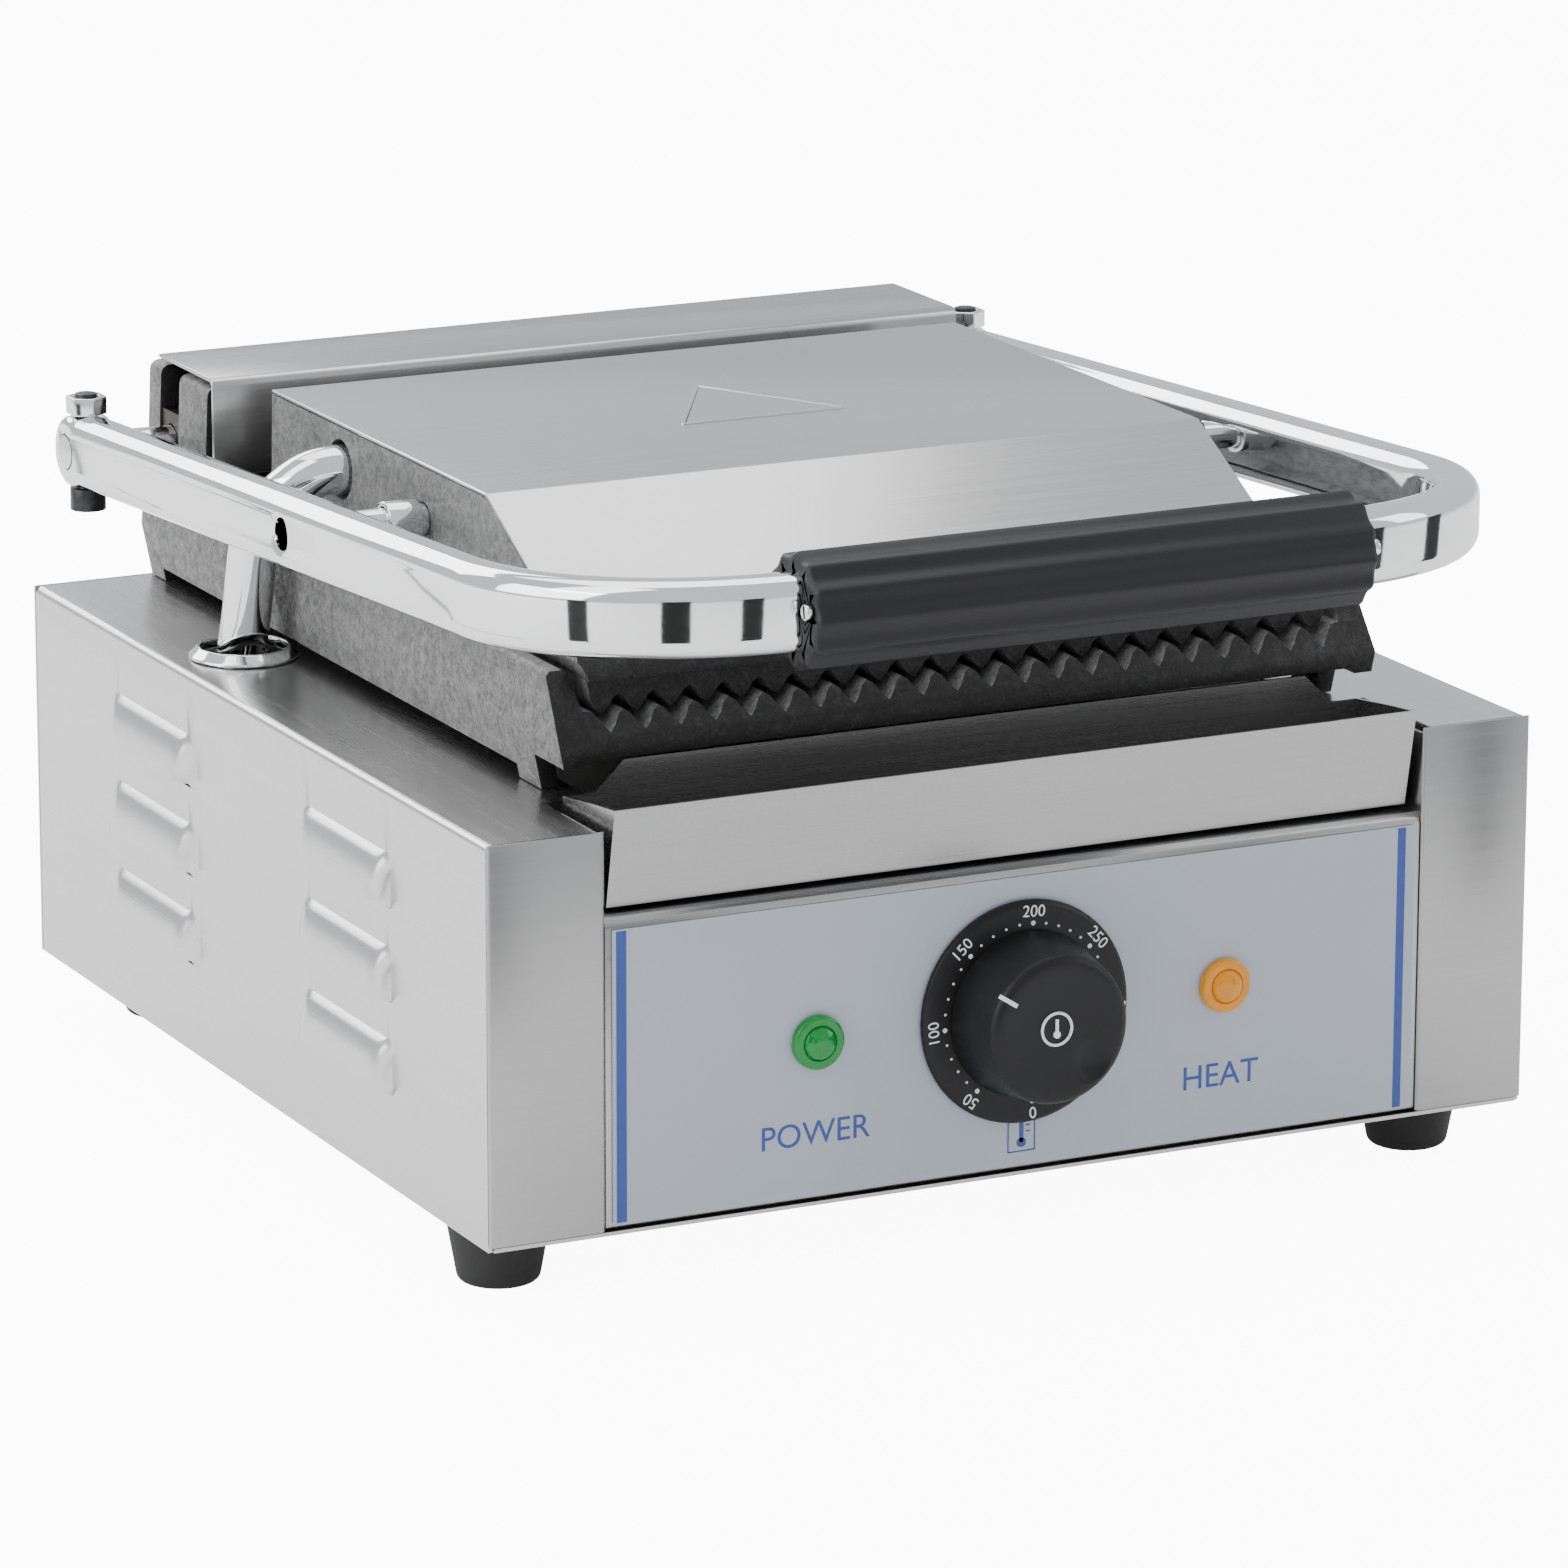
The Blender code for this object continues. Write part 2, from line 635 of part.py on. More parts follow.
def thermostat():
    """The capillary thermostat behind the panel and the bulb under the lower plate."""
    front = PANEL_FACE + SHEET + GAP
    rear = front + 30
    body = block("thermostat_body", (-17, 17), (front + 6, rear), (DIAL_Z - 14, DIAL_Z + 14))
    plate = block("thermostat_bracket", (-22, 22), (front, front + 7), (DIAL_Z - 9, DIAL_Z + 9))
    combine(body, plate, "UNION")
    bore = rod("spindle_bore", "Y", (0, 0, DIAL_Z), SPINDLE_R + GAP, front - 3, PANEL_FACE + 8 + GAP, 20)
    combine(body, bore)
    finish(body, ZINC)
    bulb_y = -LOWER_FRONT + 73
    bulb_z = UNDER_PLATE - 3.4
    lead = [
        (0, rear + GAP, DIAL_Z), (0, rear + 4, DIAL_Z + 1), (0, rear + 10, DIAL_Z + 10),
        (0, rear + 14, DIAL_Z + 24), (0, rear + 22, DIAL_Z + 40), (0, rear + 34, DIAL_Z + 50),
        (0, bulb_y - 27, bulb_z - 6), (0, bulb_y - 20, bulb_z - 1),
        (0, bulb_y - 10, bulb_z), (0, bulb_y, bulb_z),
    ]
    capillary = sweep("thermostat_capillary", lead, 1.0, 1)
    combine(capillary, rod("bulb_end", "Y", (0, 0, bulb_z), 3.0, -58, 20, 16), "UNION")
    return finish(capillary, ((0.6, 0.35, 0.22), 0.35, 1.0))


front_panel()
panel_label()
lamp("power", -LAMP_X, (0.02, 0.45, 0.12))
lamp("heat", LAMP_X, (0.85, 0.38, 0.03))
dial_bezel()
knob()
thermostat()


# ---------------------------------------------------------------- wiring points

def terminal_block():
    """The terminal block on the floor, four ways with a hollow for each screw."""
    low = FOOT_H + SHEET + GAP
    body = block("terminal_block", (50, 92), (PIVOT_Y - 36, PIVOT_Y - 20), (low, low + 14))
    for way in range(4):
        x = 56 + way * 10
        combine(body, rod(f"terminal_{way}", "Z", (x, 104, 0), 2.6, low + 6, low + 20, 12))
    return finish(body, WHITE)


def cable_gland():
    """The gland that the mains lead passes through the back panel in."""
    thread = rod("cable_gland", "Y", (GLAND_X, 0, GLAND_Z), GLAND_R, HALF_D - 12, HALF_D + 3, 24)
    nut = rod("gland_nut", "Y", (GLAND_X, 0, GLAND_Z), GLAND_R + 3.4, HALF_D + GAP, REAR_END, 6)
    combine(thread, nut, "UNION")
    combine(thread, rod("gland_bore", "Y", (GLAND_X, 0, GLAND_Z), 4.0, HALF_D - 20, REAR_END + 5, 20))
    return finish(thread, BLACK)


terminal_block()
cable_gland()


# ---------------------------------------------------------------- cooking plates

def rib_height(x):
    """How high the lower plate's surface stands over its valleys, from 0 to 1."""
    wave = (1 + math.cos(2 * math.pi * x / RIB_PITCH)) / 2
    return wave ** 0.85


def rib_points(low_x, high_x, height):
    steps = round((high_x - low_x) / RIB_PITCH * RIB_STEPS)
    places = [low_x + (high_x - low_x) * i / steps for i in range(steps + 1)]
    return [(x, height(x)) for x in places]


def lower_plate():
    """The ribbed lower casting with its rims, skirts, feet and the hinge trough behind."""
    ribs_end = RIB_COUNT * RIB_PITCH / 2
    ribs = rib_points(0.0, ribs_end, lambda x: VALLEY_Z + RIB_DEPTH * rib_height(x))
    rim = FOOT_H + RIM_TOP
    ledge = VALLEY_Z + RIB_DEPTH
    sit = BASE_TOP + GAP
    half = ribs + [
        (ribs_end + 3.7, ledge), (RIM_IN - 1.4, ledge + 0.4), (RIM_IN, rim - 1.2), (RIM_IN + 1.2, rim),
        (RIM_OUT - 1.2, rim), (RIM_OUT, rim - 1.0), (NOSE_HALF_W, VALLEY_Z - NOSE_DROP), (SKIRT_HALF_W, sit),
        (SKIRT_HALF_W - 4.7, sit), (SKIRT_HALF_W - 3.2, UNDER_PLATE - 1.5), (SKIRT_HALF_W - 4.3, UNDER_PLATE),
        (0.0, UNDER_PLATE),
    ]
    plate = prism("lower_plate", "Y", [both_sides(half)], -LOWER_FRONT, LOWER_REAR)
    nose = VALLEY_Z - NOSE_DROP
    ahead = -LOWER_FRONT - 10
    over = nose + 40
    leaning = [(-LOWER_FRONT, nose), (-LOWER_FRONT + 40 * FRONT_LEAN, over), (ahead, over), (ahead, nose)]
    combine(plate, prism("front_lean", "X", [leaning], -130, 130))
    deck_y = (COOK_REAR, TROUGH_FRONT - 2)
    combine(plate, block("rear_deck", (-RIM_IN, RIM_IN), deck_y, (UNDER_PLATE + 2, ledge + 0.2)), "UNION")
    housing = rounded([
        (-EAR_HALF_W - 2.0, UNDER_PLATE + 1.0, 0), (EAR_HALF_W + 2.0, UNDER_PLATE + 1.0, 0),
        (EAR_HALF_W, FOOT_H + EAR_TOP, 2.5), (-EAR_HALF_W, FOOT_H + EAR_TOP, 2.5),
    ])
    trough_wall = 6.0
    combine(
        plate,
        prism("hinge_housing", "Y", [housing], TROUGH_FRONT - trough_wall, TROUGH_REAR + trough_wall),
        "UNION",
    )
    inside = EAR_HALF_W - EAR_T
    above = FOOT_H + EAR_TOP + 10
    combine(plate, block("trough", (-inside, inside), (TROUGH_FRONT, TROUGH_REAR), (PIVOT_Z - 15, above)))
    half_slot = SLOT_W / 2
    slot_y = (PIVOT_Y - half_slot, PIVOT_Y + half_slot)
    combine(plate, block("shaft_slot", (-130, 130), slot_y, (PIVOT_Z - half_slot, above)))
    under = BASE_TOP - 5
    lip_y = (-LOWER_FRONT - 5, -LOWER_FRONT + 17)
    combine(plate, block("lip_clearance", (-130, 130), lip_y, (under, UNDER_PLATE - 1.5)))
    lifted = BASE_TOP + GAP + SKIRT_LIFT
    skirt_y = (-LOWER_FRONT + 30, LOWER_REAR - 10)
    combine(plate, block("skirt_clearance", (-130, 130), skirt_y, (under, lifted)))
    rear_skirt = block(
        "rear_skirt",
        (-SKIRT_HALF_W + 2, SKIRT_HALF_W - 2),
        (LOWER_REAR - 6, LOWER_REAR - 0.4),
        (sit, UNDER_PLATE + 1),
    )
    combine(plate, rear_skirt, "UNION")
    beside = (-CONDUIT_X - 0.6, COLLAR_Y - 4.6, 0)
    relief = rod("conduit_relief", "Z", beside, CONDUIT_R + 6.8, BASE_TOP + SKIRT_LIFT, BASE_TOP + 60, 40)
    combine(plate, relief)
    return finish(plate, IRON)


def lid_line(offset):
    """The (y, z) corners of the lid's top and front slope, sunk by an offset from the cover's outside."""
    slope = math.radians(LID_SLOPE_DEG)
    fold_shift = offset * math.tan(slope / 2)
    end_z = LID_Z - (LID_SLOPE_END - LID_FOLD) * math.tan(slope)
    top = LID_Z - offset
    return [
        (UPPER_REAR, top),
        (-LID_FOLD + fold_shift, top),
        (-LID_SLOPE_END + offset * math.sin(slope), end_z - offset * math.cos(slope)),
    ]


def upper_plate():
    """The ribbed upper casting, open at its top for the heater."""
    tips_end = (RIB_COUNT + 1) * RIB_PITCH / 2 - 1.6
    face = VALLEY_Z + RIB_DEPTH + PLATE_GAP
    ribs = rib_points(0.0, tips_end, lambda x: face - RIB_DEPTH * (1 - rib_height(x)))
    band = FOOT_H + BAND_TOP
    half = [
        (0.0, LID_Z + 10), (LID_HALF_W - 0.4, LID_Z + 10), (LID_HALF_W + 0.3, band + 0.6),
        (UPPER_HALF_W + 2.3, band - 0.6), (UPPER_HALF_W + 2.7, band - 3.0), (UPPER_HALF_W, band - BAND_H),
    ]
    half += list(reversed(ribs))
    plate = prism("upper_plate", "Y", [both_sides(half)], -UPPER_FRONT, UPPER_REAR)
    under_cover = lid_line(SHEET + GAP)
    past = UPPER_REAR + 10
    away = [
        (past, LID_Z + 30), (past, under_cover[0][1]), under_cover[1], under_cover[2],
        (-UPPER_FRONT + 4.0, band), (-UPPER_FRONT - 3.0, band - BAND_H), (-UPPER_FRONT - 10, LID_Z + 30),
    ]
    combine(plate, prism("lid_slope", "X", [away], -130, 130))
    inside = LID_HALF_W - WELL_WALL
    well_z = (FOOT_H + WELL_FLOOR, LID_Z + 20)
    well_y = (-UPPER_FRONT + 26, UPPER_REAR - WELL_WALL)
    combine(plate, block("heater_well", (-inside, inside), well_y, well_z))
    step_y = (-UPPER_FRONT - 5, -UPPER_FRONT + 1.8)
    combine(plate, block("rib_setback", (-130, 130), step_y, (BASE_TOP, band - BAND_H)))
    combine(plate, rod("cross_bore", "X", (0, -CROSS_Y, CROSS_Z), CROSS_R + GAP, -130, 130, 24))
    combine(
        plate,
        rod("conduit_bore", "X", (0, CONDUIT_IN_Y, FOOT_H + CONDUIT_IN_UP), CONDUIT_HOLE_R, -130, -80, 28),
    )
    return finish(plate, IRON, PLATE_AXIS)


def lid_cover():
    """The folded stainless cover on the upper casting."""
    outer = lid_line(0.0)
    inner = lid_line(SHEET)
    cover = prism("lid_cover", "X", [outer + list(reversed(inner))], -LID_HALF_W, LID_HALF_W)
    return finish(cover, STEEL, PLATE_AXIS)


def serpentine(runs, front, rear, z):
    """Points of a heater that runs to and fro, with round bends."""
    points = []
    for i, x in enumerate(runs):
        ends = (rear, front) if i % 2 == 0 else (front, rear)
        if i == 0:
            points += [(x, rear + 14, z), (x, ends[1], z)]
        else:
            points += [(x, ends[0], z), (x, ends[1] if i < len(runs) - 1 else rear + 14, z)]
        if i < len(runs) - 1:
            radius = (runs[i + 1] - x) / 2
            way = -1 if ends[1] == front else 1
            for k in range(1, 6):
                angle = math.pi * k / 6
                along = ends[1] + way * radius * math.sin(angle)
                points.append((x + radius * (1 - math.cos(angle)), along, z))
    return points


HEATER_R = 4.0
LOWER_RUNS = (-80.0, -48.0, -16.0, 16.0, 48.0, 80.0)
UPPER_RUNS = (-70.0, -42.0, -14.0, 14.0, 42.0, 70.0)


def heaters():
    """The tubular elements, the plate that holds the lower one up, and the upper one on its floor."""
    lower_z = UNDER_PLATE - GAP - HEATER_R
    lower_path = serpentine(LOWER_RUNS, -LOWER_FRONT + 53, COOK_REAR - 22, lower_z)
    lower = sweep("lower_heater", lower_path, HEATER_R, 1)
    finish(lower, ((0.25, 0.22, 0.2), 0.5, 1.0))
    clamp_top = lower_z - HEATER_R - GAP
    clamp_y = (-LOWER_FRONT + 61, COOK_REAR - 28)
    clamp = block("heater_clamp_plate", (-92, 92), clamp_y, (clamp_top - 2.0, clamp_top))
    finish(clamp, ZINC)
    upper_z = FOOT_H + WELL_FLOOR + GAP + HEATER_R
    upper_path = serpentine(UPPER_RUNS, -UPPER_FRONT + 52, UPPER_REAR - 39, upper_z)
    upper = sweep("upper_heater", upper_path, HEATER_R, 1)
    return finish(upper, ((0.25, 0.22, 0.2), 0.5, 1.0), PLATE_AXIS)


lower_plate()
upper_plate()
lid_cover()
heaters()


# ---------------------------------------------------------------- drip tray

def drip_tray():
    """The folded grease tray: a leaning front, low sides and a raised back under the plate's lip."""
    low = PANEL_TOP_Z + 1.2
    lip = BASE_TOP + TRAY_LIP
    half_w = INNER_X - TRAY_SIDE_GAP
    front_low = -HALF_D + TRAY_LEAN
    front_high = -HALF_D
    back = -LOWER_FRONT + 4.2
    outline = [
        (front_low, low), (front_high, lip), (front_high + 12, lip - 1.2),
        (back, BASE_TOP + 1.6), (back, low),
    ]
    tray = prism("drip_tray", "X", [outline], -half_w, half_w)
    hollow = [
        (front_low + SHEET, low + SHEET), (front_high + SHEET - 2, lip + 10), (back - SHEET, lip + 10),
        (back - SHEET, low + SHEET),
    ]
    combine(tray, prism("tray_hollow", "X", [hollow], -half_w + SHEET, half_w - SHEET))
    top = FOOT_H + TRAY_BACK_TOP
    wing = [
        (-half_w + 8, BASE_TOP - 4), (half_w - 8, BASE_TOP - 4), (half_w - 8, BASE_TOP + 1.6),
        (half_w - 16, top), (-half_w + 16, top), (-half_w + 8, BASE_TOP + 1.6),
    ]
    combine(tray, prism("tray_back", "Y", [wing], back - SHEET, back - 0.02), "UNION")
    return finish(tray, STEEL, TRAY_AXIS)


drip_tray()


# ---------------------------------------------------------------- hinge

def rear_cover():
    """The folded cover over the hinge trough: a top and a front, open at both ends."""
    top = LID_Z
    low = top - COVER_DROP
    outline = rounded([
        (COVER_FRONT, low, 0), (COVER_FRONT, top, 2.2), (COVER_REAR, top, 0), (COVER_REAR, top - SHEET, 0),
        (COVER_FRONT + SHEET, top - SHEET, 1.2), (COVER_FRONT + SHEET, low, 0),
    ])
    cover = prism("rear_cover", "X", [outline], -EAR_HALF_W, EAR_HALF_W)
    return finish(cover, STEEL)


def hinge_bush(label, side):
    """A bearing block that fills an ear's slot and carries the shaft."""
    size = SLOT_W / 2 - GAP
    xs = sorted((side * (EAR_HALF_W - EAR_T), side * EAR_HALF_W))
    bush = block(
        "hinge_bush_" + label, xs, (PIVOT_Y - size, PIVOT_Y + size), (PIVOT_Z - size, PIVOT_Z + size + 2),
    )
    bore = rod("bush_bore_" + label, "X", (0, PIVOT_Y, PIVOT_Z), SHAFT_R + GAP, xs[0] - 5, xs[1] + 5, 28)
    return finish(combine(bush, bore), ((0.45, 0.3, 0.14), 0.35, 1.0))


def arm_x(side):
    """Middle of one arm from the middle of the base."""
    return HANDLE_X + side * ARM_X


def rear_shaft():
    """The shaft through the hinge trough, cross-drilled for the clamp bolts."""
    reach = ARM_X + TUBE_W / 2 + 0.2
    shaft = rod("rear_shaft", "X", (0, PIVOT_Y, PIVOT_Z), SHAFT_R, HANDLE_X - reach, HANDLE_X + reach, 28)
    for label, side in named_sides():
        place = (arm_x(side), PIVOT_Y, 0)
        name = "shaft_cross_hole_" + label
        combine(shaft, rod(name, "Z", place, BOLT_R + GAP, PIVOT_Z - 20, PIVOT_Z + 20, 16))
    return finish(shaft, CHROME, HANDLE_AXIS)


def torsion_spring(label, side):
    """A counterbalance spring wound on the shaft in the trough."""
    turns = 6
    steps = 10
    wire = 1.2
    mean = (SHAFT_R + TROUGH_REAR - PIVOT_Y) / 2 + 0.2
    points = []
    for k in range(turns * steps + 1):
        angle = 2 * math.pi * k / steps
        x = side * (34 + (wire * 2 + 0.6) * k / steps)
        points.append((x, PIVOT_Y + mean * math.cos(angle), PIVOT_Z + mean * math.sin(angle)))
    spring = sweep("torsion_spring_" + label, points, wire, 1)
    return finish(spring, ZINC)


rear_cover()
rear_shaft()
for side_label, side_sign in named_sides():
    hinge_bush(side_label, side_sign)
    torsion_spring(side_label, side_sign)


# ---------------------------------------------------------------- handle

def arm_z(y):
    """Height of the handle's centre line at a place along the arms."""
    return PIVOT_Z + ARM_SLOPE * (PIVOT_Y - y)


def tube_section(name, inset):
    """The flattened tube's outline as a section curve."""
    w = TUBE_W / 2 - inset
    h = TUBE_H / 2 - inset
    r = TUBE_R - inset
    outline = rounded([(-w, -h, r), (w, -h, r), (w, h, r), (-w, h, r)], 3)
    curve = bpy.data.curves.new(name, "CURVE")
    curve.dimensions = "2D"
    spline = curve.splines.new("POLY")
    spline.points.add(len(outline) - 1)
    for point, (u, v) in zip(spline.points, outline):
        point.co = (u * MM, v * MM, 0.0, 1.0)
    spline.use_cyclic_u = True
    section = bpy.data.objects.new(name, curve)
    CUTTERS.objects.link(section)
    section.hide_render = True
    section.display_type = "WIRE"
    return section


def handle_path(rear):
    """The centre line of the bent tube from one rear end round the front to the other."""
    half = [(-ARM_X, rear), (-ARM_X, -HANDLE_Y + CORNER_R)]
    for x, y in arc(-ARM_X + CORNER_R, -HANDLE_Y + CORNER_R, CORNER_R, 180, 270, 12)[1:]:
        half.append((x, y))
    path = half + [(-x, y) for x, y in reversed(half)]
    return [(HANDLE_X + x, y, arm_z(y)) for x, y in path]


def handle_tube():
    """The bent tube, hollow, with rounded rear ends and holes for the shafts and bolts."""
    end_y = PIVOT_Y + 1.0
    tube = sweep("handle_tube", handle_path(end_y), 0, section=tube_section("tube_outside", 0.0))
    bore = sweep("tube_bore", handle_path(PIVOT_Y - 12.0), 0, section=tube_section("tube_inside", TUBE_WALL))
    for label, side in named_sides():
        half_w = TUBE_W / 2 - 0.05
        xs = (arm_x(side) - half_w, arm_x(side) + half_w)
        round_end = rod("arm_end_" + label, "X", (0, PIVOT_Y, PIVOT_Z), TUBE_H / 2 - 0.1, xs[0], xs[1], 32)
        combine(tube, round_end, "UNION")
    combine(tube, bore)
    for label, side in named_sides():
        xs = (arm_x(side) - TUBE_W, arm_x(side) + TUBE_W)
        combine(tube, rod("shaft_hole_" + label, "X", (0, PIVOT_Y, PIVOT_Z), SHAFT_R + GAP, xs[0], xs[1], 28))
        across = (0, -CROSS_Y, CROSS_Z)
        combine(tube, rod("cross_hole_" + label, "X", across, CROSS_R + GAP, xs[0], xs[1], 24))
        at = (arm_x(side), PIVOT_Y, 0)
        combine(tube, rod("bolt_hole_" + label, "Z", at, BOLT_R + GAP, PIVOT_Z - 20, PIVOT_Z + 20, 16))
    return finish(tube, CHROME, HANDLE_AXIS)


def grip():
    """The fluted grip over the front of the tube."""
    outline = []
    count = GRIP_FLUTES * 6
    for k in range(count):
        angle = 2 * math.pi * k / count
        scoop = abs(math.sin(GRIP_FLUTES * angle / 2)) ** 1.4
        radius = GRIP_R - FLUTE_DEPTH * scoop
        outline.append((-HANDLE_Y + radius * math.cos(angle), HANDLE_Z + radius * math.sin(angle)))
    w = TUBE_W / 2 + GAP
    h = TUBE_H / 2 + GAP
    bore = rounded([
        (-HANDLE_Y - w, HANDLE_Z - h, TUBE_R), (-HANDLE_Y + w, HANDLE_Z - h, TUBE_R),
        (-HANDLE_Y + w, HANDLE_Z + h, TUBE_R), (-HANDLE_Y - w, HANDLE_Z + h, TUBE_R),
    ], 3)
    body = prism("grip", "X", [outline, bore], GRIP_X - GRIP_HALF, GRIP_X + GRIP_HALF)
    return finish(body, BLACK, HANDLE_AXIS)


def grip_screw(label, side):
    """A small set screw at the end of the grip."""
    end = GRIP_X + side * GRIP_HALF
    xs = sorted((end + side * GAP, end + side * 2.0))
    centre = (0, -HANDLE_Y - TUBE_W / 2 - 3.4, HANDLE_Z + 2)
    screw = rod("grip_screw_" + label, "X", centre, 2.0, xs[0], xs[1], 12)
    return finish(screw, CHROME, HANDLE_AXIS)


def clamp_bolt(label, side):
    """A socket head bolt up through the arm and the shaft, with a nut on top."""
    x = arm_x(side)
    under = PIVOT_Z - TUBE_H / 2 - GAP
    over = PIVOT_Z + TUBE_H / 2 + GAP
    bolt = rod("clamp_bolt_" + label, "Z", (x, PIVOT_Y, 0), BOLT_R, under - 3, over + 5.5, 16)
    head = rod("bolt_head_" + label, "Z", (x, PIVOT_Y, 0), 4.8, under - 6.0, under, 20)
    combine(bolt, head, "UNION")
    combine(bolt, rod("bolt_socket_" + label, "Z", (x, PIVOT_Y, 0), 2.6, under - 8, under - 3, 6))
    finish(bolt, BLACK, HANDLE_AXIS)
    nut = rod("clamp_nut_" + label, "Z", (x, PIVOT_Y, 0), 5.6, over, over + 4.8, 6)
    combine(nut, rod("nut_bore_" + label, "Z", (x, PIVOT_Y, 0), BOLT_R + GAP, over - 3, over + 8, 16))
    return finish(nut, CHROME, HANDLE_AXIS)


def cross_shaft():
    """The shaft between the arms that the upper plate hangs on, with a spacer each side."""
    reach = ARM_X - 1.0
    shaft = rod("cross_shaft", "X", (0, -CROSS_Y, CROSS_Z), CROSS_R, HANDLE_X - reach, HANDLE_X + reach, 28)
    finish(shaft, CHROME, HANDLE_AXIS)
    for label, side in named_sides():
        near = LID_HALF_W + 2.4
        xs = sorted((side * near, side * (near + SLEEVE_L)))
        sleeve = rod("cross_sleeve_" + label, "X", (0, -CROSS_Y, CROSS_Z), SLEEVE_R, xs[0], xs[1], 28)
        combine(
            sleeve,
            rod("sleeve_bore_" + label, "X", (0, -CROSS_Y, CROSS_Z), CROSS_R + GAP, xs[0] - 5, xs[1] + 5, 28),
        )
        finish(sleeve, CHROME, HANDLE_AXIS)


handle_tube()
grip()
for side_label, side_sign in named_sides():
    grip_screw(side_label, side_sign)
    clamp_bolt(side_label, side_sign)
cross_shaft()


# ---------------------------------------------------------------- cable conduit

def conduit_path():
    """An arc about the hinge inside the base, so the tube slides out as the lid lifts, then a bend inward."""
    from_pivot = Vector((PIVOT_Y - COLLAR_Y, PIVOT_Z - BASE_TOP)).length
    radius = from_pivot - 0.2
    below = BASE_TOP - 8.0
    meet = math.asin((PIVOT_Z - below) / radius)
    tail = meet + math.radians(OPEN_DEG)
    points = []
    for k in range(13):
        angle = tail + (meet - tail) * k / 12
        points.append((-CONDUIT_X, PIVOT_Y - radius * math.cos(angle), PIVOT_Z - radius * math.sin(angle)))
    start = Vector(points[-1])
    deck = start + Vector((0.3, -2.0, 8.0))
    rise = deck + Vector((1.7, -4.2, 26.0))
    into = Vector((-LID_HALF_W + 0.5, CONDUIT_IN_Y, FOOT_H + CONDUIT_IN_UP))
    points.append(tuple(deck))
    points.append(tuple(deck.lerp(rise, 0.4) + Vector((0, -0.6, 0))))
    handles = (rise, rise + Vector((0.6, -1.6, 12.0)), into + Vector((-13.0, 2.2, 0.6)), into)
    for k in range(11):
        t = k / 10
        a, b, c, d = ((1 - t) ** 3, 3 * t * (1 - t) ** 2, 3 * t * t * (1 - t), t ** 3)
        points.append(tuple(a * handles[0] + b * handles[1] + c * handles[2] + d * handles[3]))
    points.append(tuple(into + Vector((11.0, 0.0, 0.0))))
    return points


def conduit():
    """The chromed wiring conduit, its locknut inside the casting and its collar on the base."""
    tube = sweep("conduit_tube", conduit_path(), CONDUIT_R, 3)
    finish(tube, CHROME, PLATE_AXIS)
    inside = -(LID_HALF_W - WELL_WALL) + GAP
    centre = (0, CONDUIT_IN_Y, FOOT_H + CONDUIT_IN_UP)
    nut = rod("conduit_locknut", "X", centre, 11.0, inside, inside + 3.5, 6)
    combine(nut, rod("locknut_bore", "X", centre, CONDUIT_R + GAP, inside - 3, inside + 8, 28))
    finish(nut, ZINC, PLATE_AXIS)
    low = BASE_TOP + GAP
    hole = COLLAR_HOLE_R
    profile = [
        (hole, low + COLLAR_H), (hole + 0.8, low + COLLAR_H), (hole + 1.9, low + 1.5), (COLLAR_R, low + 0.6),
        (COLLAR_R, low), (hole, low), (hole, low + COLLAR_H),
    ]
    return finish(turned("conduit_collar", profile, "Z", (-CONDUIT_X, COLLAR_Y, 0), 36), CHROME)


conduit()
bpy.context.view_layer.update()
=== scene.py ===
"""A commercial single contact grill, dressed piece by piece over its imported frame."""

import math

import bmesh
import bpy
from mathutils import Matrix, Vector


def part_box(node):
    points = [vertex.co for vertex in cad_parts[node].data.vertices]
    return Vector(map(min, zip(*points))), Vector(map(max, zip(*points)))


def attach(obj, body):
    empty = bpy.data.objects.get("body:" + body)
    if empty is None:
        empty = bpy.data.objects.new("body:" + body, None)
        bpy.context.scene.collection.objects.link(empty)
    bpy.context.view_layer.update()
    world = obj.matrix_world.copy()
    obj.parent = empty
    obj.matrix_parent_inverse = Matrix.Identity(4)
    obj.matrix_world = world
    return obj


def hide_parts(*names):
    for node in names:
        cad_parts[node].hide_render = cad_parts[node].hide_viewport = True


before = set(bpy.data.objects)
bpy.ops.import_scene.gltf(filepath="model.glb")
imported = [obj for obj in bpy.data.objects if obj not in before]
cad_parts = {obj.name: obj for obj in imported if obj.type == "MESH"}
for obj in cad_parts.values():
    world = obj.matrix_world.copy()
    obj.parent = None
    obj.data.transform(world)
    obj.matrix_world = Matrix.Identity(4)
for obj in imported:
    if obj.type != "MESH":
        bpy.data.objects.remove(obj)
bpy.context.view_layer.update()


# ---- Studio
# A pale floor that the grill stands on, soft boxes over and beside it, and dark and grey cards that the
# chrome needs for its contrast. The floor glows more to the camera than to the grill, which keeps it pale
# without lighting the grill from below. The camera stands at the front left, a little above the lid.

def on_stage(thing):
    """Keep a studio thing out of the camera's own sight."""
    thing.visible_camera = False


def plain(name, colour, glow=0.0, roughness=0.9):
    """A matt studio surface, lit from within by its glow."""
    made = bpy.data.materials.new(name)
    made.use_nodes = True
    shader = made.node_tree.nodes["Principled BSDF"]
    shader.inputs["Base Color"].default_value = (*colour, 1.0)
    shader.inputs["Roughness"].default_value = roughness
    shader.inputs["Emission Color"].default_value = (*colour, 1.0)
    shader.inputs["Emission Strength"].default_value = glow
    return made


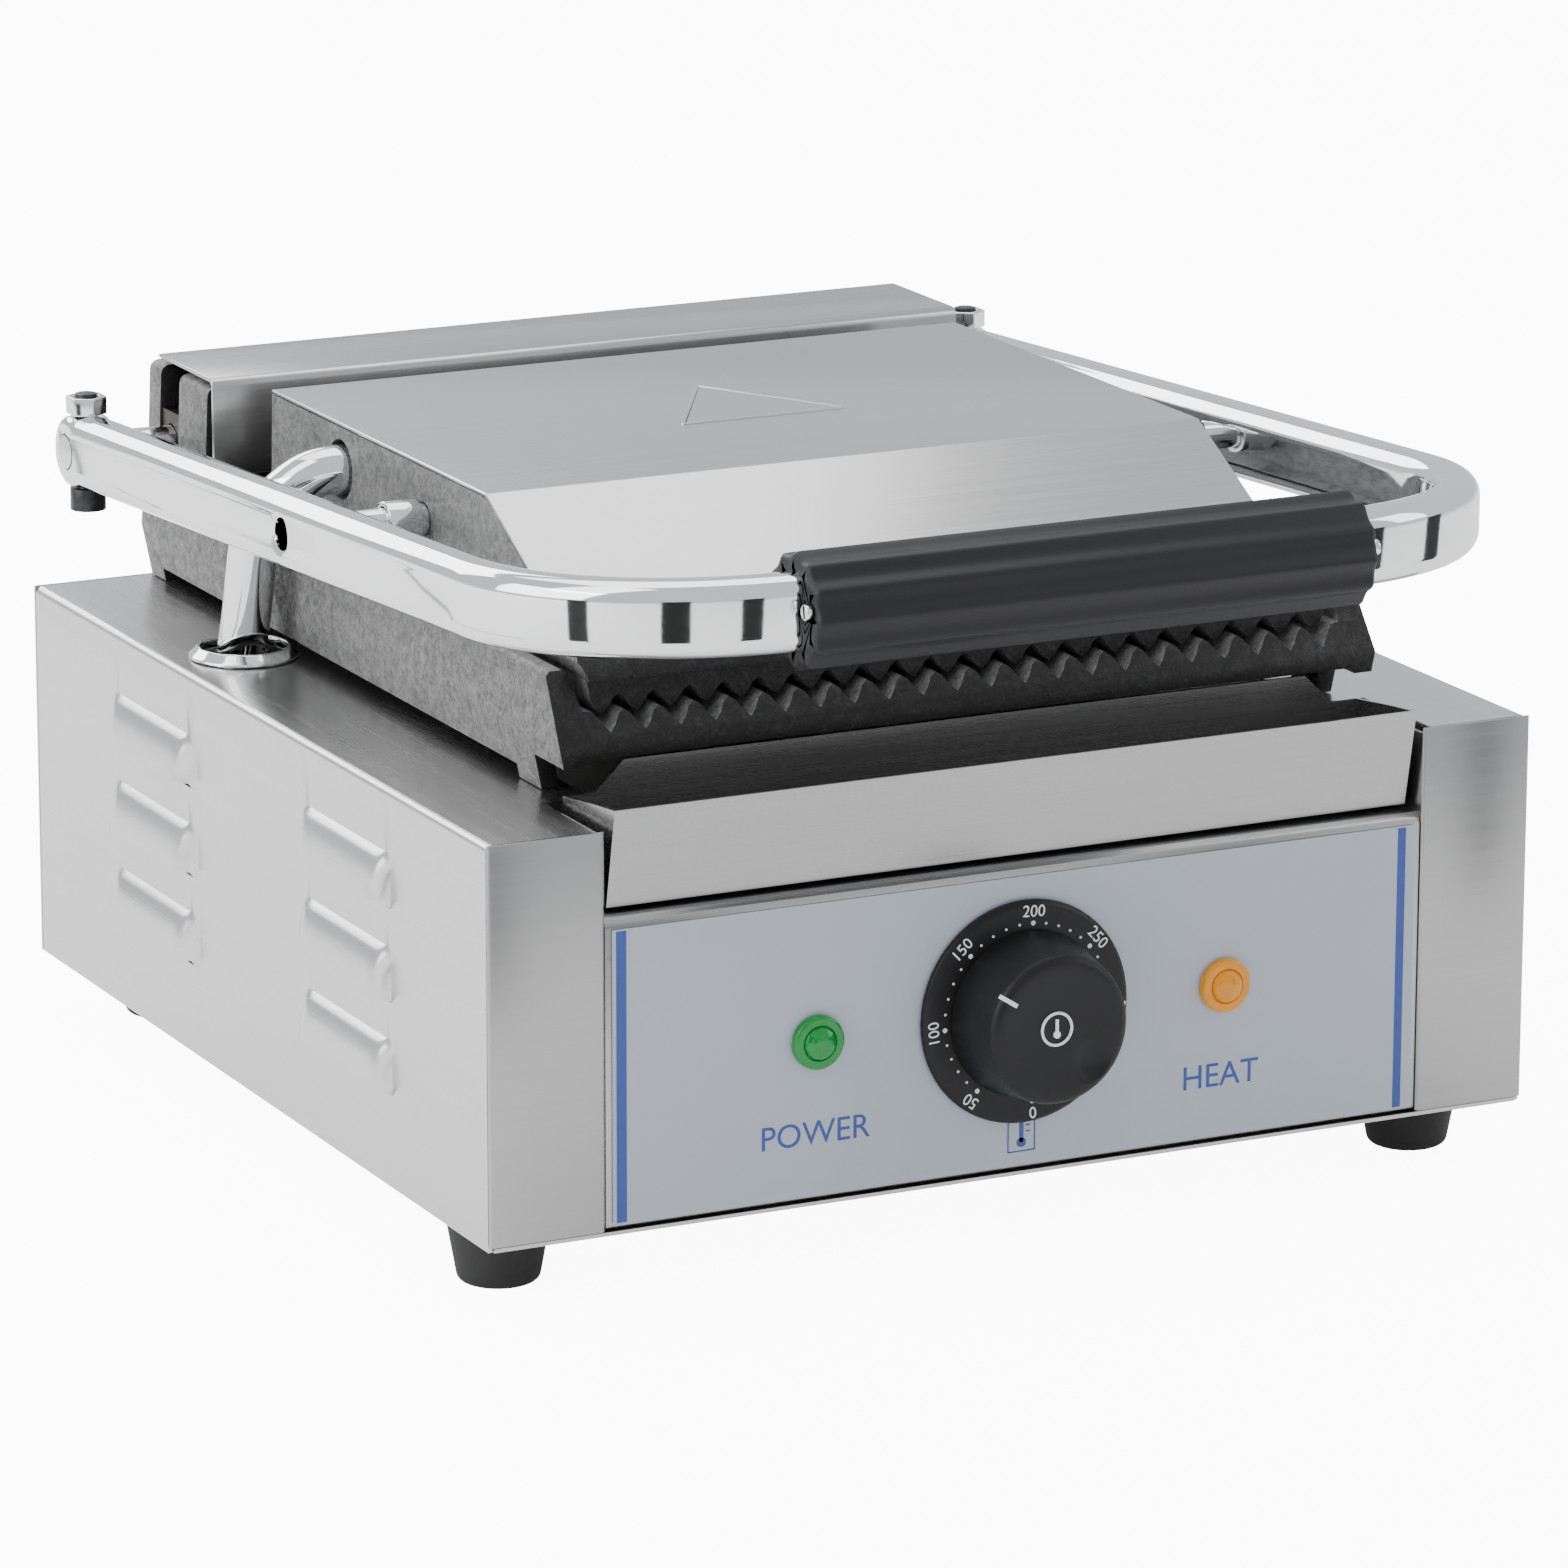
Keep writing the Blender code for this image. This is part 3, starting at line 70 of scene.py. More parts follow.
GLOW_ON_GRILL, GLOW_SEEN = 0.30, 12.0
bpy.ops.object.select_all(action="DESELECT")
bpy.ops.mesh.primitive_plane_add(size=30.0, location=(0.0, 4.0, 0.0))
studio_floor = bpy.context.object
studio_floor.name = "studio_floor"
bpy.ops.object.transform_apply(location=True)
pale_floor = plain("pale_floor", (0.86, 0.86, 0.86), 1.0)
sight = pale_floor.node_tree.nodes.new("ShaderNodeLightPath")
glow = pale_floor.node_tree.nodes.new("ShaderNodeMapRange")
glow.inputs["To Min"].default_value = GLOW_ON_GRILL
glow.inputs["To Max"].default_value = GLOW_SEEN
pale_floor.node_tree.links.new(sight.outputs["Is Camera Ray"], glow.inputs["Value"])
pale_floor.node_tree.links.new(
    glow.outputs["Result"], pale_floor.node_tree.nodes["Principled BSDF"].inputs["Emission Strength"],
)
studio_floor.data.materials.append(pale_floor)


def aimed(thing, place, at):
    """Stand a light or a card at a place and turn it to face a point."""
    thing.location = place
    thing.rotation_euler = (Vector(at) - Vector(place)).to_track_quat("-Z", "Y").to_euler()


def soft_box(name, place, at, size, power):
    """A rectangular studio light."""
    lamp = bpy.data.lights.new(name, "AREA")
    lamp.shape = "RECTANGLE"
    lamp.size, lamp.size_y = size
    lamp.energy = power
    thing = bpy.data.objects.new(name, lamp)
    bpy.context.scene.collection.objects.link(thing)
    aimed(thing, place, at)
    thing.visible_camera = False


def card(name, place, at, size, tone):
    """A matt card that shows in the chrome."""
    bpy.ops.object.select_all(action="DESELECT")
    bpy.ops.mesh.primitive_plane_add(size=1.0)
    thing = bpy.context.object
    thing.name = name
    thing.scale = (size[0], size[1], 1.0)
    thing.data.materials.append(plain(name + "_matt", (tone, tone, tone)))
    aimed(thing, place, at)
    thing.visible_shadow = False
    on_stage(thing)


GRILL_MIDDLE = (0.0, 0.0, 0.1)
soft_box("soft_box_left", (-2.0, 0.1, 0.9), GRILL_MIDDLE, (1.8, 1.4), 30.0)
soft_box("soft_box_above", (0.1, 0.5, 1.9), GRILL_MIDDLE, (1.6, 1.6), 19.0)
soft_box("soft_box_high_left", (-1.5, -0.2, 1.9), GRILL_MIDDLE, (1.0, 1.6), 14.0)
soft_box("soft_box_right", (1.7, -0.9, 1.0), GRILL_MIDDLE, (0.7, 1.2), 6.0)
soft_box("soft_box_back", (-0.4, 1.9, 1.2), GRILL_MIDDLE, (1.6, 0.9), 22.0)
card("dark_card_near", (-0.30, -0.47, 0.10), (-0.09, -0.12, 0.10), (0.09, 0.20), 0.004)
card("dark_card_mid", (-0.08, -0.54, 0.10), (-0.07, -0.12, 0.10), (0.07, 0.20), 0.004)
card("dark_card_side", (-0.50, -0.24, 0.09), (-0.12, -0.06, 0.09), (0.07, 0.18), 0.02)
card("dark_card_right", (0.34, -0.46, 0.10), (0.12, -0.12, 0.10), (0.08, 0.20), 0.004)
card("dark_card_far_right", (0.50, -0.24, 0.10), (0.12, -0.12, 0.10), (0.08, 0.20), 0.01)
card("grey_card_low", (-0.34, 0.46, 0.042), (0.0, 0.46, 0.042), (1.05, 0.007), 0.10)

sky = bpy.data.worlds.new("studio_air")
sky.use_nodes = True
sky.node_tree.nodes["Background"].inputs["Color"].default_value = (0.93, 0.95, 1.0, 1.0)
sky.node_tree.nodes["Background"].inputs["Strength"].default_value = 0.90
bpy.context.scene.world = sky

TURN, TIP, ROLL = 0.4601, 0.2599, 0.0024
CAMERA_STAND = (-0.91491, -1.84408, 0.63399)
LENS = 187.44
eye = bpy.data.cameras.new("camera")
eye.sensor_width = 36.0
eye.lens = LENS
eye.clip_end = 60.0
camera = bpy.data.objects.new("camera", eye)
bpy.context.scene.collection.objects.link(camera)
ahead = Vector((math.sin(TURN) * math.cos(TIP), math.cos(TURN) * math.cos(TIP), -math.sin(TIP)))
across = Vector((math.cos(TURN), -math.sin(TURN), 0.0))
up = across.cross(ahead)
rolled = across * math.cos(ROLL) + up * math.sin(ROLL)
upright = up * math.cos(ROLL) - across * math.sin(ROLL)
stand = Matrix((rolled, upright, -ahead)).transposed().to_4x4()
stand.translation = CAMERA_STAND
camera.matrix_world = stand
bpy.context.scene.camera = camera


# ---- Base floor and back panel
# The bottom plate and the rear wall are cut and folded from 1 mm stainless sheet, brushed along their
# length. Pan head screws hold the rear wall to the side shells.

class Shade:
    """A socket in a shader tree. Sums written on it add Math nodes."""

    def __init__(self, tree, socket=None):
        self.tree = tree
        self.socket = socket

    def node(self, kind, settings=(), values=(), out=0):
        """Any other node: its type, its settings, then the values or links of its sockets."""
        made = self.tree.nodes.new(kind)
        for name, value in dict(settings).items():
            if name == "stops":
                ramp = made.color_ramp.elements
                while len(ramp) < len(value):
                    ramp.new(0.5)
                for stop, (place, colour) in zip(ramp, value):
                    stop.position = place
                    stop.color = (*colour, 1.0)
            else:
                setattr(made, name, value)
        for name, value in dict(values).items():
            if isinstance(value, Shade):
                self.tree.links.new(value.socket, made.inputs[name])
            else:
                made.inputs[name].default_value = value
        return Shade(self.tree, made.outputs[out])

    def sum(self, operation, first, second=0.0):
        return self.node("ShaderNodeMath", {"operation": operation}, {0: first, 1: second})

    def __add__(self, other):
        return self.sum("ADD", self, other)

    def __radd__(self, other):
        return self.sum("ADD", other, self)

    def __mul__(self, other):
        return self.sum("MULTIPLY", self, other)

    def __rmul__(self, other):
        return self.sum("MULTIPLY", other, self)

    def __pow__(self, other):
        return self.sum("POWER", self, other)


def surface(name, colour, roughness, metallic=0.0, **fixed):
    """A material with its fixed values, as (material, tree, shader)."""
    made = bpy.data.materials.new(name)
    made.use_nodes = True
    shader = made.node_tree.nodes["Principled BSDF"]
    shader.inputs["Base Color"].default_value = (*colour, 1.0)
    shader.inputs["Roughness"].default_value = roughness
    shader.inputs["Metallic"].default_value = metallic
    for words, value in fixed.items():
        shader.inputs[words.replace("_", " ")].default_value = value
    return made, Shade(made.node_tree), shader


def feed(tree, shader, **links):
    """Lead what changes over a surface into its shader."""
    for words, value in links.items():
        tree.tree.links.new(value.socket, shader.inputs[words.replace("_", " ")])


def spots(tree, stretch, detail=2.0, roughness=0.5):
    """Noise on Object coordinates, with its number of spots in a metre along X, Y and Z."""
    place = tree.node("ShaderNodeTexCoord", out="Object")
    scaled = tree.node("ShaderNodeMapping", {}, {"Vector": place, "Scale": stretch})
    return tree.node(
        "ShaderNodeTexNoise", {}, {"Vector": scaled, "Scale": 1.0, "Detail": detail, "Roughness": roughness},
    )


def tint(tree, factor, low, high):
    """A colour between two, by a factor from 0 to 1."""
    return tree.node(
        "ShaderNodeMix", {"data_type": "RGBA"}, {0: factor, 6: (*low, 1.0), 7: (*high, 1.0)}, out=2,
    )


def bump(tree, height, depth, strength=1.0):
    return tree.node("ShaderNodeBump", {}, {"Height": height, "Distance": depth, "Strength": strength})


GRAIN = {"X": (14.0, 1900.0, 1900.0), "Y": (1900.0, 14.0, 1900.0), "Z": (1900.0, 1900.0, 14.0)}
BAND = {"X": (5.0, 420.0, 420.0), "Y": (420.0, 5.0, 420.0), "Z": (420.0, 420.0, 5.0)}


def brushed(name, along, tone=0.60, sheen=0.27):
    """Stainless sheet brushed along an axis."""
    made, tree, shader = surface(name, (tone, tone, tone), sheen, 1.0)
    fine = spots(tree, GRAIN[along], 3.0, 0.6)
    broad = spots(tree, BAND[along], 2.0)
    cloud = spots(tree, (9.0, 9.0, 9.0), 2.0)
    streak = fine * 0.6 + broad * 0.4
    dark = (tone * 0.90, tone * 0.895, tone * 0.885)
    light = (tone * 1.08, tone * 1.08, tone * 1.07)
    feed(
        tree, shader,
        Base_Color=tint(tree, streak, dark, light),
        Roughness=streak * 0.16 + cloud * 0.08 + (sheen - 0.12),
        Normal=bump(tree, streak, 0.00004, 0.55),
    )
    return made


def dress(node, look):
    """Give a CAD node its finished material."""
    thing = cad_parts[node]
    for hold in thing.material_slots:
        hold.material = look


def begin(name, add, **settings):
    """Add a primitive alone, named, with its place in its mesh."""
    bpy.ops.object.select_all(action="DESELECT")
    add(**settings)
    piece = bpy.context.object
    piece.name = piece.data.name = name
    bpy.ops.object.transform_apply(location=True, rotation=True, scale=True)
    return piece


def alone(piece):
    """Select one object and make it active."""
    bpy.ops.object.select_all(action="DESELECT")
    piece.select_set(True)
    bpy.context.view_layer.objects.active = piece


def pick(piece, kind, test):
    """In edit mode, select only the VERTs, EDGEs or FACEs whose middle and normal pass a test."""
    bpy.ops.mesh.select_mode(type=kind)
    bpy.ops.mesh.select_all(action="DESELECT")
    shape = bmesh.from_edit_mesh(piece.data)
    shape.normal_update()
    for item in {"VERT": shape.verts, "EDGE": shape.edges, "FACE": shape.faces}[kind]:
        if kind == "VERT":
            middle, normal = item.co, item.normal
        elif kind == "EDGE":
            middle, normal = (item.verts[0].co + item.verts[1].co) / 2, item.verts[1].co - item.verts[0].co
        else:
            middle, normal = item.calc_center_median(), item.normal
        item.select_set(bool(test(middle, normal)))
    shape.select_flush_mode()
    bmesh.update_edit_mesh(piece.data)


def work(piece, kind, **settings):
    """Add a modifier with its settings and apply it."""
    alone(piece)
    step = piece.modifiers.new(kind.lower(), kind)
    for name, value in settings.items():
        setattr(step, name, value)
    bpy.ops.object.modifier_apply(modifier=step.name)
    return piece


def done(piece, body, look, slot, *nodes, smooth=32.0):
    """Finish a piece: its material, its shading, its body and the nodes it stands for, which are hidden. The
    slot is not used.
    """
    piece.data.materials.clear()
    piece.data.materials.append(look)
    if smooth:
        alone(piece)
        bpy.ops.object.shade_smooth_by_angle(angle=math.radians(smooth))
    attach(piece, body)
    if nodes:
        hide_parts(*nodes)
    return piece


def copy_of(thing, name):
    """A copy with its own mesh, free of its body and of what the frame wrote on it."""
    piece = thing.copy()
    piece.data = piece.data.copy()
    for word in list(piece.keys()):
        del piece[word]
    piece.name = piece.data.name = name
    bpy.context.scene.collection.objects.link(piece)
    piece.parent = None
    piece.matrix_world = Matrix.Identity(4)
    return piece


def softened(node, look, body, width, segments=2, angle=28.0):
    """A copy of a CAD node with its outside edges rounded, as pressing and finishing leave them."""
    piece = copy_of(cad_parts[node], node + "_finished")
    alone(piece)
    bpy.ops.object.mode_set(mode="EDIT")
    bpy.ops.mesh.select_all(action="SELECT")
    bpy.ops.mesh.remove_doubles(threshold=0.00002)
    bpy.ops.mesh.dissolve_limited(angle_limit=math.radians(1.0))
    bpy.ops.object.mode_set(mode="OBJECT")
    work(
        piece, "BEVEL", width=width, segments=segments, limit_method="ANGLE",
        angle_limit=math.radians(angle), use_clamp_overlap=True, miter_outer="MITER_ARC",
    )
    return done(piece, body, look, node, node)


steel_back = brushed("brushed_back_steel", "X", 0.56, 0.30)
dress("base_floor", steel_back)
dress("back_panel", steel_back)


# ---- Side shells
# Each side wall and its top are one sheet of stainless steel, bent over at the top edge. Six louvres are
# pressed out of the wall, closed round their tops and ends and open underneath.

# The side shells get a lighter tone of the same steel than the front caps: painted light.
side_steel_painted_light = brushed("painted_light_side_steel", "Y", 0.64, 0.26)
SHEET = 0.001
shell_low, shell_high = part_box("side_shell_left")
cap_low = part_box("front_cap_left")[0]
WALL_X = -cap_low[0]
STRIP_X = -shell_high[0]
BASE_TOP = shell_high[2]
BASE_LOW = shell_low[2]
BEND = 0.002
VENT_LONG, VENT_TALL, VENT_OUT = 0.053, 0.0125, -shell_low[0] + cap_low[0]
TOP_LIP, LIP_STEP, LIP_GAP = 0.0734, 0.0239, 0.0016
VENT_CENTRE, VENT_APART = 0.01705, 0.0635
VENT_LIPS = [BASE_LOW + TOP_LIP - LIP_STEP * row for row in range(3)]
VENT_MIDDLES = [VENT_CENTRE - VENT_APART, VENT_CENTRE + VENT_APART]
VENT_END_SHARE, VENT_FULLNESS = 0.24, 0.55
TRAY_ROOM, NOTCH_BACK = 0.0026, -0.0975
COLLAR_BORE_R = 0.0114


def vent_height(y, z):
    """How far a place on the wall is pressed out by a louvre."""
    for lip in VENT_LIPS:
        rise = (z - lip) / VENT_TALL
        if not -0.001 <= rise <= 1.0:
            continue
        for middle in VENT_MIDDLES:
            off = abs(y - middle) / (VENT_LONG / 2)
            if off >= 1.0:
                continue
            end = min(1.0, (1.0 - off) / VENT_END_SHARE)
            round_end = math.sqrt(max(0.0, 1.0 - (1.0 - end) ** 2))
            crown = math.cos(rise * math.pi / 2) ** VENT_FULLNESS
            return VENT_OUT * round_end * crown
    return 0.0


def side_shell(label, side):
    """One shell, shaped as a flat grid, pressed, bent over and given its thickness."""
    y_low, y_high = shell_low[1], shell_high[1]
    flat_top = WALL_X - BEND - STRIP_X
    rise = BASE_TOP - BEND - BASE_LOW
    steps = 6
    ys = sorted({round(y_low + (y_high - y_low) * i / 150, 6) for i in range(151)})
    zs = {BASE_LOW, BASE_LOW + rise}
    for lip in VENT_LIPS:
        zs |= {lip - LIP_GAP, lip}
        zs |= {lip + VENT_TALL * (i / 10) for i in range(1, 11)}
    rows = [(WALL_X, z) for z in sorted(zs)]
    for i in range(1, steps + 1):
        angle = math.pi / 2 * i / steps
        rows.append((WALL_X - BEND + BEND * math.cos(angle), BASE_TOP - BEND + BEND * math.sin(angle)))
    rows += [(WALL_X - BEND - flat_top * i / 6, BASE_TOP) for i in range(1, 7)]
    piece = begin(
        f"side_shell_{label}_pressed", bpy.ops.mesh.primitive_grid_add,
        x_subdivisions=len(ys) - 1, y_subdivisions=len(rows) - 1, size=1.0,
    )
    columns = len(ys)
    for index, vert in enumerate(piece.data.vertices):
        x, z = rows[index // columns]
        y = ys[index % columns]
        if x == WALL_X:
            x += vent_height(y, z)
        vert.co = (side * x, y, z)
    bpy.ops.object.mode_set(mode="EDIT")
    openings = [(lip - LIP_GAP / 2, middle) for lip in VENT_LIPS for middle in VENT_MIDDLES]
    reach = VENT_LONG / 2 - 0.0012

    def under_a_lip(at, normal):
        return any(abs(at.z - z) < 0.0009 and abs(at.y - y) < reach for z, y in openings)

    pick(piece, "FACE", under_a_lip)
    bpy.ops.mesh.delete(type="FACE")
    notch_x = -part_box("drip_tray")[0][0] + TRAY_ROOM

    def over_the_tray(at, normal):
        return abs(at.x) < notch_x and at.y < NOTCH_BACK and at.z > BASE_TOP - 0.0001

    pick(piece, "FACE", over_the_tray)
    bpy.ops.mesh.delete(type="FACE")
    bpy.ops.mesh.select_all(action="SELECT")
    bpy.ops.mesh.normals_make_consistent(inside=False)
    bpy.ops.object.mode_set(mode="OBJECT")
    wall = [f for f in piece.data.polygons if abs(f.center.x) > WALL_X - 0.0001]
    if sum(f.normal.x * side for f in wall) < 0:
        piece.data.flip_normals()
    work(piece, "SOLIDIFY", thickness=SHEET, offset=-1.0, use_even_offset=False)
    if side < 0:
        ring_low, ring_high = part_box("conduit_collar")
        middle = ((ring_low[0] + ring_high[0]) / 2, (ring_low[1] + ring_high[1]) / 2, BASE_TOP)
        bore = begin(
            "bore", bpy.ops.mesh.primitive_cylinder_add, vertices=48, radius=COLLAR_BORE_R, depth=0.01,
            location=middle,
        )
        work(piece, "BOOLEAN", object=bore, operation="DIFFERENCE", solver="EXACT")
        bpy.data.objects.remove(bore)
    node = "side_shell_" + label
    return done(piece, "base", side_steel_painted_light, node, node, smooth=40.0)


for side_label, side_sign in (("left", -1), ("right", 1)):
    side_shell(side_label, side_sign)


# ---- Front caps and control panel
# The cap of each module is folded from stainless sheet and brushed across. The control panel between them
# is bent back at its top in a soft round fold, and its finished sheet closes the gaps beside it.

# The front caps and the panel get darker tones of the same steel than the side shells: painted shade.
front_steel_painted_shade = brushed("painted_shade_front_steel", "X", 0.42, 0.30)
fold_steel_painted_shade = brushed("painted_shade_panel_steel", "X", 0.46, 0.28)
softened("front_cap_left", front_steel_painted_shade, "base", 0.00035)
softened("front_cap_right", front_steel_painted_shade, "base", 0.00035)
panel = softened("front_panel", fold_steel_painted_shade, "base", 0.0003)
PANEL_HALF, FINISHED_HALF = 0.1130, 0.1137
PANEL_SPREAD = FINISHED_HALF / PANEL_HALF
panel.data.transform(Matrix.Diagonal((PANEL_SPREAD, 1.0, 1.0, 1.0)))


# ---- Feet
# Moulded rubber feet, tapered down to a rounded tread.

def rubber(name):
    """Black moulded rubber."""
    made, tree, shader = surface(name, (0.012, 0.012, 0.012), 0.7)
    grain = spots(tree, (1400.0, 1400.0, 1400.0), 3.0)
    cloud = spots(tree, (60.0, 60.0, 60.0), 3.0)
    feed(
        tree, shader,
        Base_Color=tint(tree, cloud, (0.005, 0.005, 0.005), (0.013, 0.013, 0.013)),
        Roughness=cloud * 0.2 + 0.55,
        Normal=bump(tree, grain, 0.00008, 0.5),
    )
    return made


foot_rubber = rubber("foot_rubber")
FOOT_TREAD_R = 0.0102


def foot(node):
    """One foot, hollowed a little under its tread."""
    low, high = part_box(node)
    middle = ((low[0] + high[0]) / 2, (low[1] + high[1]) / 2, (low[2] + high[2]) / 2)
    piece = begin(
        node + "_moulded", bpy.ops.mesh.primitive_cone_add, vertices=64,
        radius1=FOOT_TREAD_R, radius2=(high[0] - low[0]) / 2, depth=high[2] - low[2], location=middle,
    )
    bpy.ops.object.mode_set(mode="EDIT")
    pick(piece, "FACE", lambda at, normal: abs(normal.z) > 0.9 and at.z < middle[2])
    bpy.ops.mesh.bevel(offset=0.0019, segments=5, affect="EDGES")
    pick(piece, "FACE", lambda at, normal: normal.z < -0.99)
    bpy.ops.mesh.inset(thickness=0.0035, depth=-0.0006)
    bpy.ops.object.mode_set(mode="OBJECT")
    return done(piece, "base", foot_rubber, node, node)


for corner in ("front_left", "front_right", "rear_left", "rear_right"):
    foot("foot_" + corner)


# ---- Panel overlay
# A printed polyester overlay glued to the panel, pale blue grey with a blue stripe near each end, a word
# under each lamp and a small thermometer under the dial.

def overlay():
    made, tree, shader = surface("pale_overlay", (0.42, 0.46, 0.51), 0.42, 0.0)
    cloud = spots(tree, (18.0, 18.0, 18.0), 3.0)
    grain = spots(tree, (2500.0, 2500.0, 2500.0), 2.0)
    feed(
        tree, shader,
        Base_Color=tint(tree, cloud, (0.40, 0.44, 0.495), (0.44, 0.48, 0.53)),
        Roughness=grain * 0.12 + 0.36,
        Normal=bump(tree, grain, 0.00003, 0.3),
    )
    return made


def ink(name, colour, rough=0.45):
    """Printing ink, a little uneven."""
    made, tree, shader = surface(name, colour, rough)
    cloud = spots(tree, (500.0, 500.0, 500.0), 3.0)
    feed(
        tree, shader,
        Base_Color=tint(tree, cloud, [c * 0.86 for c in colour], [min(1.0, c * 1.1) for c in colour]),
        Roughness=cloud * 0.1 + (rough - 0.05),
    )
    return made


dress("panel_label", overlay())
blue_ink = ink("blue_ink", (0.030, 0.075, 0.33))
label_low, label_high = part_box("panel_label")
PRINT_Y = label_low[1]
PRINT_T = 0.00008


def printed_block(name, x_low, x_high, z_low, z_high, round_off, look):
    """A printed rectangle on the overlay, as a thin layer of ink with rounded corners."""
    middle = ((x_low + x_high) / 2, PRINT_Y - PRINT_T / 2 + 0.00001, (z_low + z_high) / 2)
    piece = begin(
        name, bpy.ops.mesh.primitive_cube_add, size=1.0, location=middle,
        scale=(x_high - x_low, PRINT_T, z_high - z_low),
    )
    bpy.ops.object.mode_set(mode="EDIT")
    pick(piece, "EDGE", lambda at, run: abs(run.y) > abs(run.x) + abs(run.z))
    bpy.ops.mesh.bevel(offset=round_off, segments=4, affect="EDGES")
    bpy.ops.object.mode_set(mode="OBJECT")
    return done(piece, "base", look, "panel_label", smooth=0)


STRIPES = {"left": (-0.1111, -0.1084), "right": (0.1070, 0.1093)}
STRIPE_EDGE = 0.0004
for side, (x_low, x_high) in STRIPES.items():
    stripe_low, stripe_high = label_low[2] + STRIPE_EDGE, label_high[2] - STRIPE_EDGE
    printed_block("blue_stripe_" + side, x_low, x_high, stripe_low, stripe_high, 0.0001, blue_ink)


def lettering(name, words, height, place, look, slot, turn=0.0):
    """Plain lettering, as thin as ink and set facing the front, centred on a place."""
    bpy.ops.object.select_all(action="DESELECT")
    bpy.ops.object.text_add()
    piece = bpy.context.object
    piece.name = name
    piece.data.body = words
    piece.data.size = 1.0
    piece.data.align_x = "CENTER"
    piece.data.resolution_u = 4
    piece.data.extrude = 0.5
    alone(piece)
    bpy.ops.object.convert(target="MESH")
    piece = bpy.context.object
    across_line = [v.co.x for v in piece.data.vertices]
    up_line = [v.co.y for v in piece.data.vertices]
    tall = max(up_line) - min(up_line)
    foot_line = min(up_line)
    wide = (max(across_line) + min(across_line)) / 2
    size = height / tall
    piece.data.transform(Matrix.Translation((-wide, -foot_line - tall / 2, 0.0)))
    piece.data.transform(Matrix.Diagonal((size, size, PRINT_T, 1.0)))
    piece.data.transform(Matrix.Rotation(turn, 4, "Z"))
    piece.data.transform(Matrix.Rotation(math.pi / 2, 4, "X"))
    piece.data.transform(Matrix.Translation(place))
    return done(piece, "base", look, slot, smooth=0)


WORD_TALL = 0.0061
for word, x, z in (("POWER", -0.0570, 0.0361), ("HEAT", 0.0568, 0.0360)):
    place = (x, PRINT_Y - PRINT_T / 2, z)
    lettering(word.lower() + "_word", word, WORD_TALL, place, blue_ink, "panel_label")


# ---- Pilot lamps
# A clear coloured lens in a thick moulded ring of the same plastic, with a faceted dome in the middle. The
# barrel behind the panel is black nylon, held by a nut.

def lens_plastic(name, colour):
    """Clear coloured plastic with a polished skin."""
    made, tree, shader = surface(
        name, colour, 0.15, 0.0, Coat_Weight=0.3, Coat_Roughness=0.05, Specular_IOR_Level=0.35,
    )
    cloud = spots(tree, (220.0, 220.0, 220.0), 3.0)
    feed(
        tree, shader,
        Base_Color=tint(tree, cloud, [c * 0.8 for c in colour], [min(1.0, c * 1.15) for c in colour]),
        Roughness=cloud * 0.06 + 0.09,
        Emission_Color=tint(tree, cloud, [c * 0.8 for c in colour], colour),
    )
    shader.inputs["Emission Strength"].default_value = 0.22
    return made


def grained_plastic(name, colour, rough, grain_size=900.0, depth=0.00006):
    """Moulded plastic with a spark-eroded grain."""
    made, tree, shader = surface(name, colour, rough, Specular_IOR_Level=0.32)
    grain = spots(tree, (grain_size, grain_size, grain_size), 3.0)
    cloud = spots(tree, (35.0, 35.0, 35.0), 3.0)
    feed(
        tree, shader,
        Base_Color=tint(tree, cloud, [c * 0.85 for c in colour], [min(1.0, c * 1.25) for c in colour]),
        Roughness=cloud * 0.12 + (rough - 0.06),
        Normal=bump(tree, grain, depth, 0.6),
    )
    return made


black_nylon = grained_plastic("black_nylon", (0.012, 0.012, 0.013), 0.45)


def pilot_lens(node, look):
    """The moulded ring, and the dome in its middle."""
    low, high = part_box(node)
    radius = (high[0] - low[0]) / 2
    deep = high[1] - low[1]
    middle = ((low[0] + high[0]) / 2, high[1] - deep / 4, (low[2] + high[2]) / 2)
    piece = begin(
        node + "_moulded", bpy.ops.mesh.primitive_cylinder_add, vertices=48, radius=radius, depth=deep / 2,
        location=middle, rotation=(math.pi / 2, 0.0, 0.0),
    )
    front = middle[1] - deep / 4
    bpy.ops.object.mode_set(mode="EDIT")
    pick(piece, "FACE", lambda at, normal: normal.y < -0.9)
    bpy.ops.mesh.bevel(offset=0.0009, segments=4, affect="EDGES")
    pick(piece, "FACE", lambda at, normal: normal.y < -0.999)
    bpy.ops.mesh.inset(thickness=0.0014, depth=0.0)
    bpy.ops.mesh.inset(thickness=0.0003, depth=-0.0005)
    bpy.ops.object.mode_set(mode="OBJECT")
    done(piece, "base", look, node, node, smooth=40.0)
    dome = begin(
        node + "_dome", bpy.ops.mesh.primitive_uv_sphere_add, segments=14, ring_count=8,
        radius=radius * 0.62, location=(middle[0], front, middle[2]), rotation=(math.pi / 2, 0.0, 0.0),
        scale=(1.0, 1.0, 0.42),
    )
    bpy.ops.object.mode_set(mode="EDIT")
    pick(dome, "FACE", lambda at, normal: at.y > front + 0.0004)
    bpy.ops.mesh.delete(type="FACE")
    pick(dome, "FACE", lambda at, normal: normal.y < -0.93)
    bpy.ops.mesh.bevel(offset=0.0003, segments=1, affect="EDGES")
    bpy.ops.object.mode_set(mode="OBJECT")
    done(dome, "base", look, node, smooth=0)


